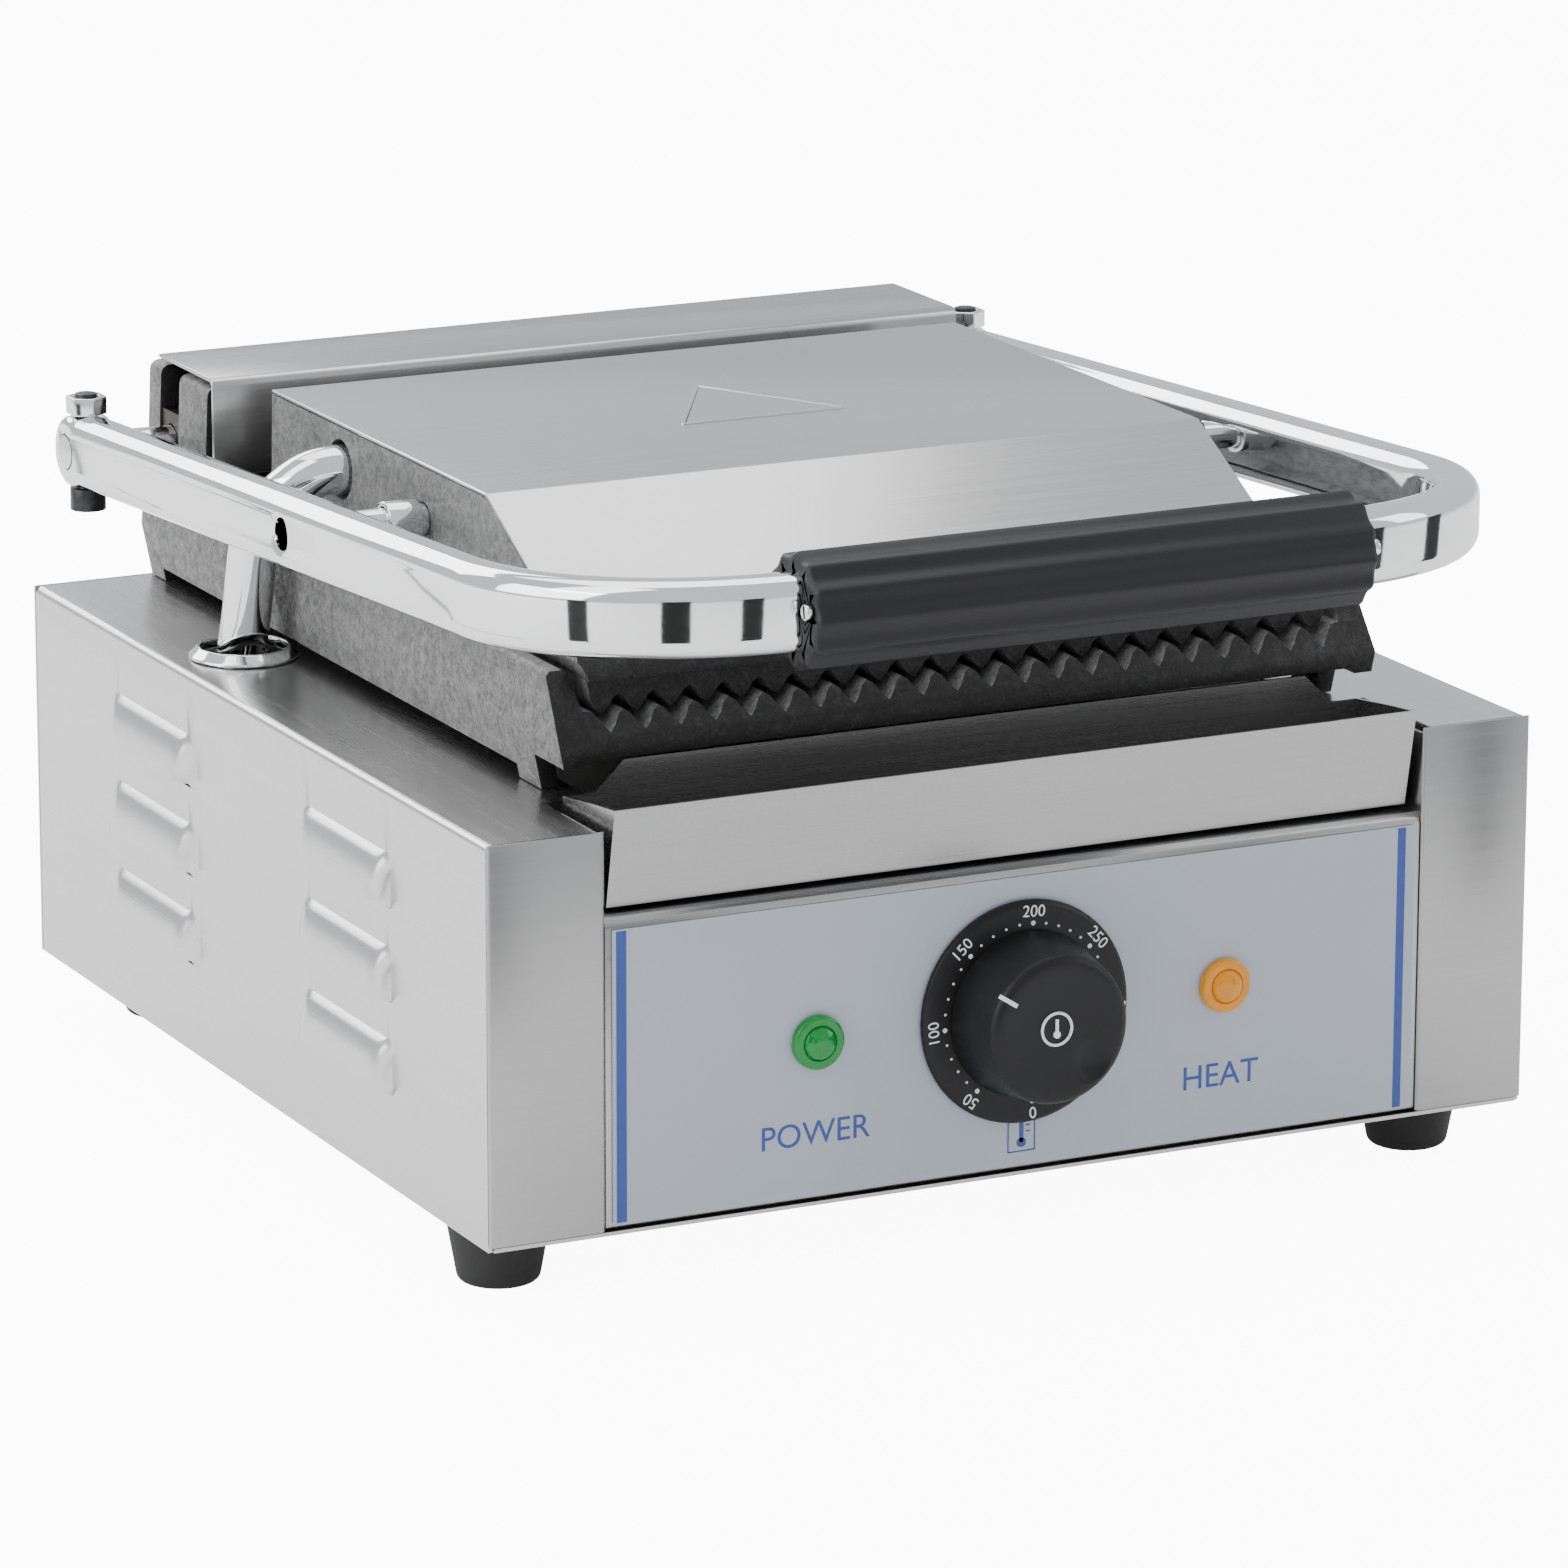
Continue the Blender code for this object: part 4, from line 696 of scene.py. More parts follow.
pilot_lens("power_lamp_lens", lens_plastic("green_lens", (0.0, 0.21, 0.03)))
pilot_lens("heat_lamp_lens", lens_plastic("amber_lens", (0.66, 0.24, 0.0)))
dress("power_lamp_body", black_nylon)
dress("heat_lamp_body", black_nylon)


# ---- Dial
# The graduated disc is black moulded plastic with a printed scale: numbers that stand on a ring of large
# dots, with smaller dots between them.

dial_black = grained_plastic("dial_black", (0.005, 0.005, 0.0055), 0.42, 1300.0, 0.00005)
white_ink = ink("white_ink", (0.82, 0.83, 0.84))
bezel_low, bezel_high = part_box("dial_bezel")
DIAL_X = (bezel_low[0] + bezel_high[0]) / 2
DIAL_Z = (bezel_low[2] + bezel_high[2]) / 2
DIAL_FACE = bezel_low[1]
DIAL_R = (bezel_high[0] - bezel_low[0]) / 2
softened("dial_bezel", dial_black, "base", 0.0004, 3, angle=25.0)


def dot(name, angle, radius, size):
    """One printed dot of the scale, at an angle counted anticlockwise from the right."""
    place = (
        DIAL_X + radius * math.cos(angle),
        DIAL_FACE - PRINT_T / 2 + 0.00001,
        DIAL_Z + radius * math.sin(angle),
    )
    piece = begin(
        name, bpy.ops.mesh.primitive_cylinder_add, vertices=16, radius=size, depth=PRINT_T,
        location=place, rotation=(math.pi / 2, 0.0, 0.0),
    )
    bpy.ops.object.mode_set(mode="EDIT")
    pick(piece, "FACE", lambda at, normal: normal.y < -0.9)
    bpy.ops.mesh.inset(thickness=size * 0.3, depth=0.0)
    bpy.ops.object.mode_set(mode="OBJECT")
    done(piece, "base", white_ink, "dial_bezel", smooth=0)


SCALE = {0: 274.0, 50: 233.0, 100: 184.0, 150: 134.0, 200: 86.5, 250: 41.0, 300: -7.0}
NUMBER_R, DOT_R = DIAL_R - 0.0026, DIAL_R - 0.0057
NUMBER_TALL, LARGE_DOT, SMALL_DOT = 0.0030, 0.00062, 0.00034
for degrees, bearing in SCALE.items():
    angle = math.radians(bearing)
    place = (
        DIAL_X + NUMBER_R * math.cos(angle),
        DIAL_FACE - PRINT_T / 2,
        DIAL_Z + NUMBER_R * math.sin(angle),
    )
    upright_turn = angle - math.pi / 2
    lettering(f"number_{degrees}", str(degrees), NUMBER_TALL, place, white_ink, "dial_bezel", upright_turn)
    dot(f"dot_{degrees}", angle, DOT_R, LARGE_DOT)
    if 50 <= degrees < 300:
        following = math.radians(SCALE[degrees + 50])
        for step in range(1, 5):
            dot(f"dot_{degrees + 10 * step}", angle + (following - angle) * step / 5, DOT_R, SMALL_DOT)


# ---- Control knob
# A tapered black knob with a rounded rim and a shallow dimple. A white pointer runs over its edge, and a
# white ring with a small thermometer is printed on its face.

knob_low, knob_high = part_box("knob")
KNOB_LONG = knob_high[1] - knob_low[1]
KNOB_R = (knob_high[0] - knob_low[0]) / 2
KNOB_TOP_R = KNOB_R - 0.0026
knob_black = grained_plastic("knob_black", (0.006, 0.006, 0.0065), 0.44, 1100.0, 0.00005)


def knob():
    """The knob, with its dimple cut by a ball."""
    piece = begin(
        "knob_moulded", bpy.ops.mesh.primitive_cone_add, vertices=96, radius1=KNOB_R, radius2=KNOB_TOP_R,
        depth=KNOB_LONG, location=(DIAL_X, (knob_low[1] + knob_high[1]) / 2, DIAL_Z),
        rotation=(math.pi / 2, 0.0, 0.0),
    )
    bpy.ops.object.mode_set(mode="EDIT")
    pick(piece, "FACE", lambda at, normal: normal.y < -0.9)
    bpy.ops.mesh.bevel(offset=0.0022, segments=6, affect="EDGES")
    pick(piece, "FACE", lambda at, normal: normal.y < -0.999)
    bpy.ops.mesh.inset(thickness=0.0016, depth=0.0)
    bpy.ops.mesh.inset(thickness=0.0030, depth=-0.0004)
    bpy.ops.mesh.inset(thickness=0.0060, depth=-0.0003)
    pick(piece, "FACE", lambda at, normal: normal.y > 0.9)
    bpy.ops.mesh.inset(thickness=0.0015, depth=0.0)
    bpy.ops.mesh.inset(thickness=0.0002, depth=-0.0012)
    bpy.ops.object.mode_set(mode="OBJECT")
    dimple = begin(
        "dimple_cutter", bpy.ops.mesh.primitive_uv_sphere_add, segments=40, ring_count=20, radius=0.0105,
        location=(DIAL_X + 0.0085, knob_low[1] - 0.0089, DIAL_Z - 0.0085),
    )
    work(piece, "BOOLEAN", object=dimple, operation="DIFFERENCE", solver="EXACT")
    bpy.data.objects.remove(dimple)
    done(piece, "control_knob", knob_black, "knob", "knob", smooth=35.0)


knob()
POINTER = math.radians(147.0)
INK_PROUD = 0.0001


def pointer():
    """The white line over the face and the rim: a slice of the knob's own skin, printed a little proud."""
    piece = copy_of(bpy.data.objects["knob_moulded"], "knob_pointer")
    swell = 1.0 + INK_PROUD / KNOB_R
    to_axis = Matrix.Translation((-DIAL_X, -knob_low[1] - INK_PROUD, -DIAL_Z))
    from_axis = Matrix.Translation((DIAL_X, knob_low[1], DIAL_Z))
    piece.data.transform(from_axis @ Matrix.Diagonal((swell, 1, swell, 1)) @ to_axis)
    reach_in, reach_out = 0.0147, KNOB_R + 0.0005
    middle = (reach_in + reach_out) / 2
    place = (DIAL_X + middle * math.cos(POINTER), knob_low[1] + 0.0006, DIAL_Z + middle * math.sin(POINTER))
    window = begin(
        "pointer_window", bpy.ops.mesh.primitive_cube_add, size=1.0, location=place,
        rotation=(0.0, -POINTER, 0.0), scale=(reach_out - reach_in, 0.0036, 0.0011),
    )
    work(piece, "BOOLEAN", object=window, operation="INTERSECT", solver="EXACT")
    bpy.data.objects.remove(window)
    done(piece, "control_knob", white_ink, "knob", smooth=0)


pointer()


def knob_icon():
    """The printed ring and the thermometer in it."""
    place = (DIAL_X - 0.0010, knob_low[1] + 0.00045, DIAL_Z + 0.0006)
    ring = begin(
        "knob_ring", bpy.ops.mesh.primitive_torus_add, major_radius=0.0041, minor_radius=0.00038,
        major_segments=48, minor_segments=8, location=place, rotation=(math.pi / 2, 0.0, 0.0),
    )
    done(ring, "control_knob", white_ink, "knob")
    stem = begin(
        "knob_thermometer", bpy.ops.mesh.primitive_cylinder_add, vertices=16, radius=0.00095, depth=0.0005,
        location=(place[0], place[1], place[2] - 0.0014), rotation=(math.pi / 2, 0.0, 0.0),
    )
    bpy.ops.object.mode_set(mode="EDIT")
    pick(stem, "FACE", lambda at, normal: normal.z > 0.85)
    bpy.ops.mesh.extrude_region_move(TRANSFORM_OT_translate={"value": (0.0, 0.0, 0.0030)})
    bpy.ops.object.mode_set(mode="OBJECT")
    done(stem, "control_knob", white_ink, "knob", smooth=0)


knob_icon()


def panel_thermometer():
    """The small printed thermometer in its rounded frame, partly under the dial."""
    x_mid, z_low, z_high, half, line = 0.0001, 0.0233, 0.0321, 0.0039, 0.00035
    strips = {
        "frame_bottom": (x_mid - half, x_mid + half, z_low, z_low + line),
        "frame_left": (x_mid - half, x_mid - half + line, z_low, z_high),
        "frame_right": (x_mid + half - line, x_mid + half, z_low, z_high),
        "frame_tube": (x_mid - 0.0006, x_mid + 0.0006, z_low + 0.0024, z_high - 0.0008),
        "frame_bulb": (x_mid - 0.0013, x_mid + 0.0013, z_low + 0.0012, z_low + 0.0036),
        "frame_mark_upper": (x_mid + 0.0012, x_mid + 0.0024, z_high - 0.0022, z_high - 0.0018),
        "frame_mark_lower": (x_mid + 0.0012, x_mid + 0.0024, z_high - 0.0038, z_high - 0.0034),
    }
    for name, (x_low, x_high, low, high) in strips.items():
        rounding = min(x_high - x_low, high - low) * 0.45
        printed_block(name, x_low, x_high, low, high, rounding, blue_ink)


panel_thermometer()
steel_zinc = brushed("zinc_plate", "Z", 0.52, 0.36)
dress("thermostat_spindle", steel_zinc)
dress("thermostat_body", steel_zinc)


# ---- Drip tray
# Folded from stainless sheet, its front wall leaning out over the panel. It slides out forwards.

# The tray gets a darker tone of the same steel than the side shells: painted shade.
dress("drip_tray", brushed("painted_shade_tray_steel", "X", 0.40, 0.28))


# ---- Cast plates
# Both ribbed plates are sand-cast iron. Their flanks keep the grainy skin of the mould, and their front
# faces and ribs are painted darker, as painted shade.

def cast_iron(name, flank, front, fine=900.0):
    """Sand-cast iron, with painted shade on what faces the front."""
    made, tree, shader = surface(name, flank, 0.5, 0.35, Specular_IOR_Level=0.6)
    grain = spots(tree, (fine, fine, fine), 3.0, 0.7)
    coarse = spots(tree, (fine / 3.2, fine / 3.2, fine / 3.2), 2.0)
    # Faces turned to the front are mixed towards the darker front colour: painted shade.
    facing = tree.node(
        "ShaderNodeSeparateXYZ", {}, {"Vector": tree.node("ShaderNodeTexCoord", out="Normal")}, out="Y",
    )
    painted_shade_on_front = tree.node(
        "ShaderNodeMapRange", {"clamp": True},
        {"Value": facing, "From Min": -0.35, "From Max": -0.75, "To Min": 0.0, "To Max": 1.0},
    )
    speckle = tree.node(
        "ShaderNodeMapRange", {"clamp": True},
        {
            "Value": grain * 0.65 + coarse * 0.35, "From Min": 0.38, "From Max": 0.66,
            "To Min": 0.0, "To Max": 1.0,
        },
    )
    skin = tint(tree, speckle, [c * 0.55 for c in flank], [c * 1.45 for c in flank])
    dark = tint(tree, speckle ** 2.0, [c * 0.5 for c in front], [c * 2.2 for c in front])
    colour = tree.node("ShaderNodeMix", {"data_type": "RGBA"}, {0: painted_shade_on_front, 6: skin, 7: dark}, out=2)
    feed(
        tree, shader,
        Base_Color=colour,
        Roughness=speckle * -0.18 + 0.60,
        Normal=bump(tree, grain * 0.7 + coarse * 0.3, 0.00045, 0.75),
    )
    return made


iron_lower = cast_iron("cast_iron_lower", (0.17, 0.17, 0.168), (0.010, 0.010, 0.010))
iron_upper = cast_iron("cast_iron_upper", (0.17, 0.17, 0.168), (0.013, 0.013, 0.013), 1000.0)
softened("lower_plate", iron_lower, "base", 0.0006, 2, angle=34.0)
softened("upper_plate", iron_upper, "upper_plate_unit", 0.0006, 2, angle=34.0)

sheath, sheath_tree, sheath_shader = surface("heater_sheath", (0.10, 0.085, 0.075), 0.5, 1.0)
scale_marks = spots(sheath_tree, (120.0, 120.0, 120.0), 4.0)
feed(
    sheath_tree, sheath_shader,
    Base_Color=tint(sheath_tree, scale_marks, (0.05, 0.045, 0.05), (0.17, 0.13, 0.10)),
    Roughness=scale_marks * 0.3 + 0.35,
)
dress("lower_heater", sheath)
dress("upper_heater", sheath)
dress("heater_clamp_plate", steel_zinc)


# ---- Lid cover
# A stainless cover folded to the slope of the upper plate and brushed across. A plain triangle stands in
# low relief behind the fold.

steel_lid = brushed("brushed_lid_steel", "X", 0.60, 0.25)
softened("lid_cover", steel_lid, "upper_plate_unit", 0.0006, 3, angle=15.0)
lid_low, lid_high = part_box("lid_cover")
MARK_PROUD = 0.00035
MARK_LOW_Y, MARK_HIGH_Y, MARK_X = 0.0157, 0.0584, 0.0013


def raised_mark():
    """The plain low triangle."""
    radius = (MARK_HIGH_Y - MARK_LOW_Y) * 2 / 3
    triangle = begin(
        "lid_triangle", bpy.ops.mesh.primitive_cylinder_add, vertices=3, radius=radius, depth=2 * MARK_PROUD,
        location=(MARK_X, MARK_LOW_Y + radius / 2, lid_high[2]),
    )
    bpy.ops.object.mode_set(mode="EDIT")
    pick(triangle, "EDGE", lambda at, run: abs(run.z) > abs(run.x) + abs(run.y))
    bpy.ops.mesh.bevel(offset=0.0016, segments=4, affect="EDGES")
    pick(triangle, "FACE", lambda at, normal: normal.z > 0.9)
    bpy.ops.mesh.bevel(offset=0.0002, segments=2, affect="EDGES")
    pick(triangle, "FACE", lambda at, normal: normal.z > 0.99)
    bpy.ops.mesh.inset(thickness=0.0007, depth=0.0)
    bpy.ops.mesh.inset(thickness=0.0002, depth=-0.0003)
    bpy.ops.object.mode_set(mode="OBJECT")
    done(triangle, "upper_plate_unit", steel_lid, "lid_cover", smooth=40.0)


raised_mark()


# ---- Rear cover and hinge
# A folded stainless cover over the hinge trough, open at both ends. The shaft turns in two bronze blocks
# that fill the slots of the housing, and a torsion spring sits on it by each.

softened("rear_cover", brushed("brushed_cover_steel", "X", 0.50, 0.25), "base", 0.0004)


def chrome(name, rough=0.06):
    """Polished chrome plate with the faint waviness of a bent tube."""
    made, tree, shader = surface(name, (0.86, 0.865, 0.87), rough, 1.0)
    wave = spots(tree, (26.0, 26.0, 26.0), 2.0)
    fine = spots(tree, (700.0, 700.0, 700.0), 2.0)
    feed(
        tree, shader,
        Base_Color=tint(tree, wave, (0.80, 0.805, 0.81), (0.90, 0.905, 0.91)),
        Roughness=fine * 0.05 + (rough - 0.02),
        Normal=bump(tree, wave, 0.0006, 0.25),
    )
    return made


chrome_tube = chrome("chrome_tube")
chrome_small = chrome("chrome_small", 0.09)
bronze, bronze_tree, bronze_shader = surface("dark_bronze", (0.05, 0.045, 0.04), 0.5, 1.0)
tarnish = spots(bronze_tree, (200.0, 200.0, 200.0), 4.0)
feed(
    bronze_tree, bronze_shader,
    Base_Color=tint(bronze_tree, tarnish, (0.03, 0.026, 0.022), (0.08, 0.068, 0.055)),
    Roughness=tarnish * 0.3 + 0.3,
)
spring_steel, spring_tree, spring_shader = surface("spring_steel", (0.12, 0.12, 0.125), 0.35, 1.0)
oil_film = spots(spring_tree, (300.0, 300.0, 300.0), 3.0)
feed(
    spring_tree, spring_shader,
    Base_Color=tint(spring_tree, oil_film, (0.08, 0.08, 0.085), (0.17, 0.17, 0.175)),
    Roughness=oil_film * 0.2 + 0.25,
)
for side in ("left", "right"):
    dress("hinge_bush_" + side, bronze)
    dress("torsion_spring_" + side, spring_steel)
dress("rear_shaft", chrome_small)


# ---- Handle
# One flattened steel tube, bent round both front corners and chrome plated. Its rear ends are rounded over
# the hinge shaft, and the front tube carries the grip.

tube_low, tube_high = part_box("handle_tube")
grip_low, grip_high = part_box("grip")
shaft_low, shaft_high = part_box("rear_shaft")
cross_low, cross_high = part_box("cross_shaft")
PIVOT = ((shaft_low[1] + shaft_high[1]) / 2, (shaft_low[2] + shaft_high[2]) / 2)
FRONT = ((grip_low[1] + grip_high[1]) / 2, (grip_low[2] + grip_high[2]) / 2)
CROSS = ((cross_low[1] + cross_high[1]) / 2, (cross_low[2] + cross_high[2]) / 2)
TUBE_WIDE, TUBE_TALL, TUBE_ROUND, TUBE_BEND, TUBE_WALL = 0.0124, 0.0195, 0.0052, 0.058, 0.0015
SHAFT_HOLE_R, CROSS_HOLE_R = 0.0049, 0.0043
FLARE_OUTER_R, FLARE_INNER_R, FLARE_DEEP = 0.0062, 0.0040, 0.0011
HANDLE_X = (tube_low[0] + tube_high[0]) / 2
ARM = (tube_high[0] - tube_low[0]) / 2 - TUBE_WIDE / 2
RISE = (FRONT[1] - PIVOT[1]) / (PIVOT[0] - FRONT[0])


def handle_height(y):
    """Height of the tube's centre line at a distance along the grill."""
    return PIVOT[1] + RISE * (PIVOT[0] - y)


def handle():
    """The section is a rounded rectangle, extruded along an arm, spun round a corner and so on."""
    front_y = FRONT[0]
    corner_y = front_y + TUBE_BEND
    piece = begin(
        "handle_bent", bpy.ops.mesh.primitive_plane_add, size=TUBE_WIDE, location=(-ARM, PIVOT[0], 0.0),
        rotation=(math.pi / 2, 0.0, 0.0),
    )
    bpy.ops.object.mode_set(mode="EDIT")
    bpy.ops.mesh.select_all(action="SELECT")
    bpy.ops.transform.resize(
        value=(1.0, 1.0, TUBE_TALL / TUBE_WIDE), center_override=(-ARM, PIVOT[0], 0.0),
    )
    bpy.ops.mesh.bevel(offset=TUBE_ROUND, segments=8, affect="VERTICES")
    bpy.ops.mesh.delete(type="ONLY_FACE")
    bpy.ops.mesh.select_mode(type="EDGE")
    bpy.ops.mesh.select_all(action="SELECT")
    bpy.ops.mesh.extrude_region_move(TRANSFORM_OT_translate={"value": (0.0, corner_y - PIVOT[0], 0.0)})
    bpy.ops.mesh.spin(
        steps=32, angle=math.pi / 2, center=(-ARM + TUBE_BEND, corner_y, 0.0), axis=(0.0, 0.0, -1.0),
    )
    bpy.ops.mesh.extrude_region_move(TRANSFORM_OT_translate={"value": (2 * (ARM - TUBE_BEND), 0.0, 0.0)})
    bpy.ops.mesh.spin(
        steps=32, angle=math.pi / 2, center=(ARM - TUBE_BEND, corner_y, 0.0), axis=(0.0, 0.0, -1.0),
    )
    bpy.ops.mesh.extrude_region_move(TRANSFORM_OT_translate={"value": (0.0, PIVOT[0] - corner_y, 0.0)})
    bpy.ops.mesh.select_all(action="SELECT")
    bpy.ops.mesh.remove_doubles(threshold=0.00001)
    bpy.ops.object.mode_set(mode="OBJECT")
    for vert in piece.data.vertices:
        vert.co.x += HANDLE_X
        vert.co.z += handle_height(vert.co.y)
    bpy.ops.object.mode_set(mode="EDIT")
    bpy.ops.mesh.select_all(action="SELECT")
    bpy.ops.mesh.normals_make_consistent(inside=False)
    bpy.ops.object.mode_set(mode="OBJECT")
    work(piece, "SOLIDIFY", thickness=TUBE_WALL, offset=-1.0)
    for side in (-1, 1):
        end = begin(
            "rounded_end", bpy.ops.mesh.primitive_cylinder_add, vertices=64, radius=TUBE_TALL / 2 - 0.0001,
            depth=TUBE_WIDE - 0.0002, location=(HANDLE_X + side * ARM, PIVOT[0], PIVOT[1]),
            rotation=(0.0, math.pi / 2, 0.0),
        )
        bpy.ops.object.mode_set(mode="EDIT")
        pick(end, "FACE", lambda at, normal: abs(normal.x) > 0.9)
        bpy.ops.mesh.bevel(offset=0.0024, segments=4, affect="EDGES")
        bpy.ops.object.mode_set(mode="OBJECT")
        work(piece, "BOOLEAN", object=end, operation="UNION", solver="EXACT")
        bpy.data.objects.remove(end)
        outside = HANDLE_X + side * (ARM + TUBE_WIDE / 2)
        for (y, z), radius in ((PIVOT, SHAFT_HOLE_R), (CROSS, CROSS_HOLE_R)):
            cutter = begin(
                "hole_cut", bpy.ops.mesh.primitive_cylinder_add, vertices=40, radius=radius, depth=0.03,
                location=(HANDLE_X + side * ARM, y, z), rotation=(0.0, math.pi / 2, 0.0),
            )
            work(piece, "BOOLEAN", object=cutter, operation="DIFFERENCE", solver="EXACT")
            bpy.data.objects.remove(cutter)
        flare = begin(
            "flare_cut", bpy.ops.mesh.primitive_cone_add, vertices=40,
            radius1=FLARE_OUTER_R, radius2=FLARE_INNER_R, depth=FLARE_DEEP,
            location=(outside - side * 0.00045, CROSS[0], CROSS[1]),
            rotation=(0.0, -side * math.pi / 2, 0.0),
        )
        work(piece, "BOOLEAN", object=flare, operation="DIFFERENCE", solver="EXACT")
        bpy.data.objects.remove(flare)
    done(piece, "handle_frame", chrome_tube, "handle_tube", "handle_tube", smooth=38.0)


handle()


def shaft_end(side):
    """The rounded end of the hinge shaft, proud of the arm."""
    outside = HANDLE_X + side * (ARM + TUBE_WIDE / 2)
    piece = begin(
        f"shaft_end_{'left' if side < 0 else 'right'}", bpy.ops.mesh.primitive_cylinder_add, vertices=40,
        radius=0.0046, depth=0.0014, location=(outside - side * 0.0007, PIVOT[0], PIVOT[1]),
        rotation=(0.0, math.pi / 2, 0.0),
    )
    bpy.ops.object.mode_set(mode="EDIT")
    pick(piece, "FACE", lambda at, normal: normal.x * side > 0.9)
    bpy.ops.mesh.bevel(offset=0.0005, segments=3, affect="EDGES")
    bpy.ops.object.mode_set(mode="OBJECT")
    done(piece, "handle_frame", chrome_small, "rear_shaft")


for way in (-1, 1):
    shaft_end(way)


# ---- Grip
# A moulded grip of dark grey plastic with broad shallow flutes, pushed over the front tube and held at each
# end by a small screw.

grip_grey = grained_plastic("grip_grey", (0.011, 0.011, 0.0115), 0.46, 800.0, 0.00008)
FLUTES = 12


def grip():
    """The grip: a rod scooped into flutes, with rounded ends."""
    radius = (grip_high[2] - grip_low[2]) / 2
    middle = ((grip_low[0] + grip_high[0]) / 2, FRONT[0], FRONT[1])
    piece = begin(
        "grip_moulded", bpy.ops.mesh.primitive_cylinder_add, vertices=FLUTES * 12, radius=radius,
        depth=grip_high[0] - grip_low[0], location=(0.0, 0.0, 0.0), rotation=(0.0, math.pi / 2, 0.0),
    )
    for vert in piece.data.vertices:
        angle = math.atan2(vert.co.z, vert.co.y)
        scoop = abs(math.sin(FLUTES * angle / 2)) ** 1.4
        keep = 1.0 - 0.0011 / radius * scoop
        vert.co.y *= keep
        vert.co.z *= keep
    bpy.ops.object.mode_set(mode="EDIT")
    pick(piece, "FACE", lambda at, normal: abs(normal.x) > 0.9)
    bpy.ops.mesh.bevel(offset=0.0016, segments=4, affect="EDGES")
    pick(piece, "FACE", lambda at, normal: abs(normal.x) > 0.999)
    bpy.ops.mesh.inset(thickness=0.0025, depth=0.0, use_individual=True)
    bpy.ops.mesh.select_all(action="SELECT")
    bpy.ops.transform.translate(value=middle)
    bpy.ops.object.mode_set(mode="OBJECT")
    done(piece, "handle_frame", grip_grey, "grip", "grip", smooth=35.0)


grip()
for side in ("left", "right"):
    softened("grip_screw_" + side, chrome_small, "handle_frame", 0.0004, 3, angle=40.0)


# ---- Bolts and cross shaft
# A black socket head bolt goes up through each arm and the shaft into a plated nut. The upper plate hangs on
# the cross shaft, with a spacer on each side.

black_bolt, bolt_tree, bolt_shader = surface("blackened_bolt", (0.03, 0.03, 0.032), 0.35, 0.8)
bolt_wear = spots(bolt_tree, (500.0, 500.0, 500.0), 3.0)
feed(
    bolt_tree, bolt_shader,
    Base_Color=tint(bolt_tree, bolt_wear, (0.02, 0.02, 0.022), (0.06, 0.06, 0.062)),
    Roughness=bolt_wear * 0.2 + 0.25,
)
for side in ("left", "right"):
    softened("clamp_bolt_" + side, black_bolt, "handle_frame", 0.0004, 2, angle=40.0)
    softened("clamp_nut_" + side, chrome_small, "handle_frame", 0.0006, 3, angle=40.0)
    softened("cross_sleeve_" + side, chrome_small, "handle_frame", 0.0004, 3, angle=40.0)
dress("cross_shaft", chrome_small)


# ---- Cable conduit
# The bent chromed tube that takes the wiring from the base into the upper plate. It slides through a flared
# collar on the base, and a nut holds its other end inside the casting.

collar_low, collar_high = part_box("conduit_collar")
CONDUIT_ROUND = 0.0065
COLLAR_X = (collar_low[0] + collar_high[0]) / 2
COLLAR_Y = (collar_low[1] + collar_high[1]) / 2
ENTRY_Y, ENTRY_Z = 0.05645, 0.1692
LID_TRAVEL = math.radians(60.0)


def conduit():
    """The arc that slides in the collar, the rise above it and the bend into the casting."""
    reach = math.hypot(PIVOT[0] - COLLAR_Y, PIVOT[1] - BASE_TOP) - 0.0002
    meet = math.asin((PIVOT[1] - BASE_TOP + 0.008) / reach)
    tail = meet + LID_TRAVEL
    route = []
    for k in range(17):
        angle = tail + (meet - tail) * k / 16
        along, below = reach * math.cos(angle), reach * math.sin(angle)
        route.append(Vector((COLLAR_X, PIVOT[0] - along, PIVOT[1] - below)))
    deck = route[-1] + Vector((0.0003, -0.0020, 0.0080))
    rise = deck + Vector((0.0017, -0.0042, 0.0260))
    into = Vector((lid_low[0] + 0.0005, ENTRY_Y, ENTRY_Z))
    route += [deck, deck.lerp(rise, 0.4) + Vector((0.0, -0.0006, 0.0))]
    bend = (rise, rise + Vector((0.0006, -0.0016, 0.0120)), into + Vector((-0.0130, 0.0022, 0.0006)), into)
    for k in range(25):
        t = k / 24
        shares = ((1 - t) ** 3, 3 * t * (1 - t) ** 2, 3 * t * t * (1 - t), t ** 3)
        route.append(sum((point * share for point, share in zip(bend, shares)), Vector()))
    route.append(into + Vector((0.0110, 0.0, 0.0)))
    line = bpy.data.curves.new("conduit_line", "CURVE")
    line.dimensions = "3D"
    spline = line.splines.new("POLY")
    spline.points.add(len(route) - 1)
    for point, place in zip(spline.points, route):
        point.co = (*place, 1.0)
    line.bevel_depth = CONDUIT_ROUND
    line.bevel_resolution = 10
    line.use_fill_caps = True
    piece = bpy.data.objects.new("conduit_bent", line)
    bpy.context.scene.collection.objects.link(piece)
    alone(piece)
    bpy.ops.object.convert(target="MESH")
    piece = bpy.context.object
    bpy.ops.object.mode_set(mode="EDIT")
    bpy.ops.mesh.select_all(action="SELECT")
    bpy.ops.mesh.remove_doubles(threshold=0.00001)
    bpy.ops.object.mode_set(mode="OBJECT")
    done(piece, "upper_plate_unit", chrome_tube, "conduit_tube", "conduit_tube", smooth=50.0)


conduit()
softened("conduit_collar", chrome_small, "base", 0.0003, 2, angle=25.0)
dress("conduit_locknut", steel_zinc)


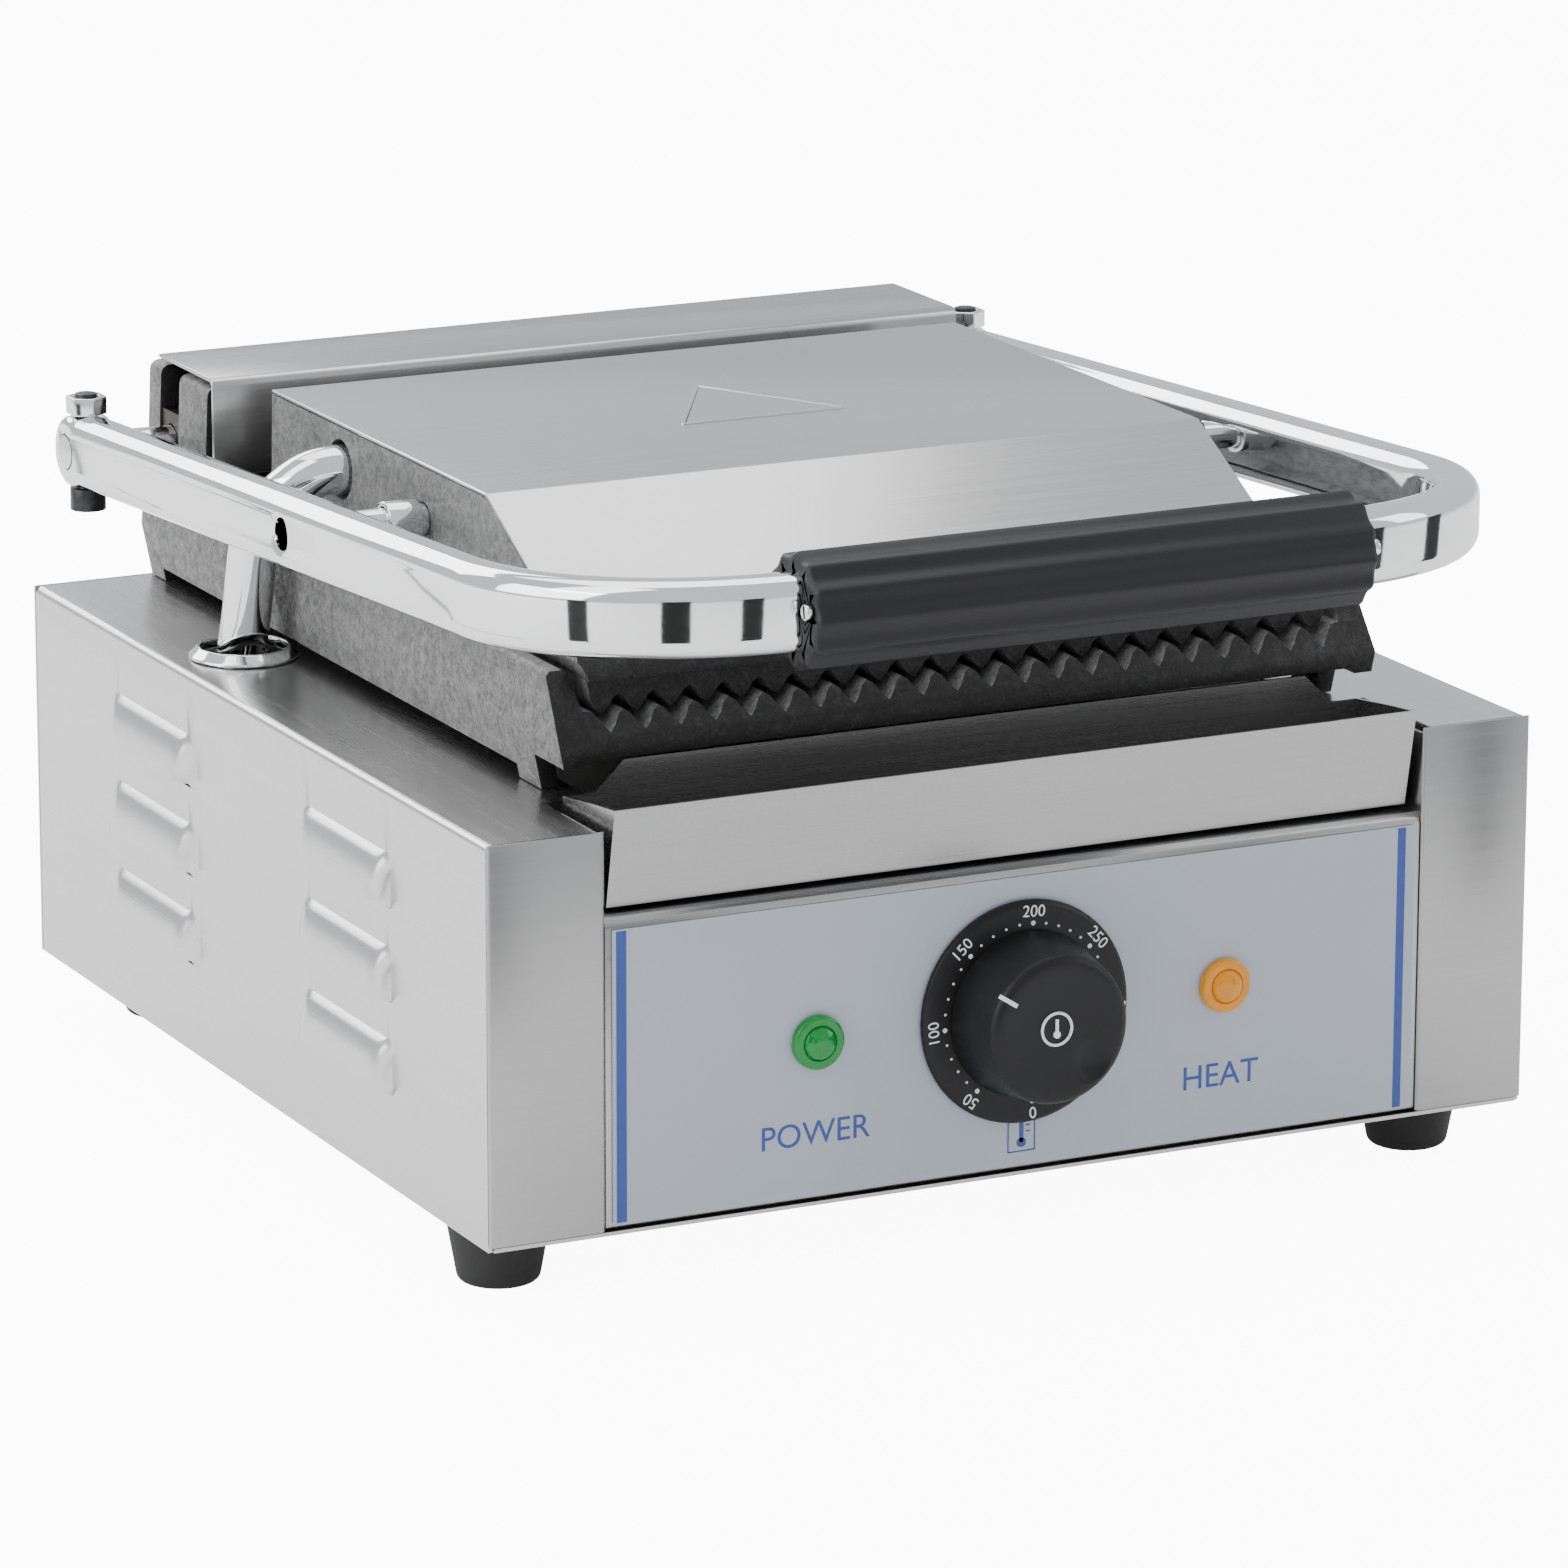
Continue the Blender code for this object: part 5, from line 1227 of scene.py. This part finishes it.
# ---- Wiring parts
# The capillary of the thermostat is drawn copper, the terminal block is ceramic, and the cable gland at the
# back is black nylon.

copper, copper_tree, copper_shader = surface("drawn_copper", (0.55, 0.22, 0.11), 0.35, 1.0)
patina = spots(copper_tree, (150.0, 150.0, 150.0), 4.0)
feed(
    copper_tree, copper_shader,
    Base_Color=tint(copper_tree, patina, (0.35, 0.13, 0.07), (0.70, 0.30, 0.16)),
    Roughness=patina * 0.25 + 0.25,
)
dress("thermostat_capillary", copper)
dress("terminal_block", grained_plastic("ceramic", (0.72, 0.70, 0.64), 0.35, 500.0, 0.00004))
softened("cable_gland", black_nylon, "base", 0.0006, 3, angle=35.0)


# ---- Back screws
# Pan head screws that hold the rear wall to the flanges of the side shells.

back_low, back_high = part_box("back_panel")
screw_steel = brushed("screw_steel", "X", 0.50, 0.30)


def pan_screw(name, x, z):
    """A domed head with a cross cut in it."""
    piece = begin(
        name, bpy.ops.mesh.primitive_uv_sphere_add, segments=24, ring_count=12, radius=0.0034,
        location=(x, back_high[1] - 0.0001, z), scale=(1.0, 0.62, 1.0),
    )
    bpy.ops.object.mode_set(mode="EDIT")
    pick(piece, "FACE", lambda at, normal: at.y < back_high[1] - 0.0002)
    bpy.ops.mesh.delete(type="FACE")
    bpy.ops.mesh.select_mode(type="EDGE")
    bpy.ops.mesh.select_all(action="DESELECT")
    bpy.ops.mesh.select_non_manifold()
    bpy.ops.mesh.edge_face_add()
    bpy.ops.object.mode_set(mode="OBJECT")
    for turn in (0.0, math.pi / 2):
        slot_cut = begin(
            "slot_cut", bpy.ops.mesh.primitive_cube_add, size=1.0,
            location=(x, back_high[1] + 0.0021, z), rotation=(0.0, turn + 0.4, 0.0),
            scale=(0.0036, 0.0024, 0.0008),
        )
        work(piece, "BOOLEAN", object=slot_cut, operation="DIFFERENCE", solver="EXACT")
        bpy.data.objects.remove(slot_cut)
    done(piece, "base", screw_steel, "back_panel", smooth=40.0)


for column, x in enumerate((-0.138, -0.05, 0.05, 0.138)):
    for row, z in enumerate((back_low[2] + 0.010, back_high[2] - 0.010)):
        pan_screw(f"back_screw_{column}_{row}", x, z)
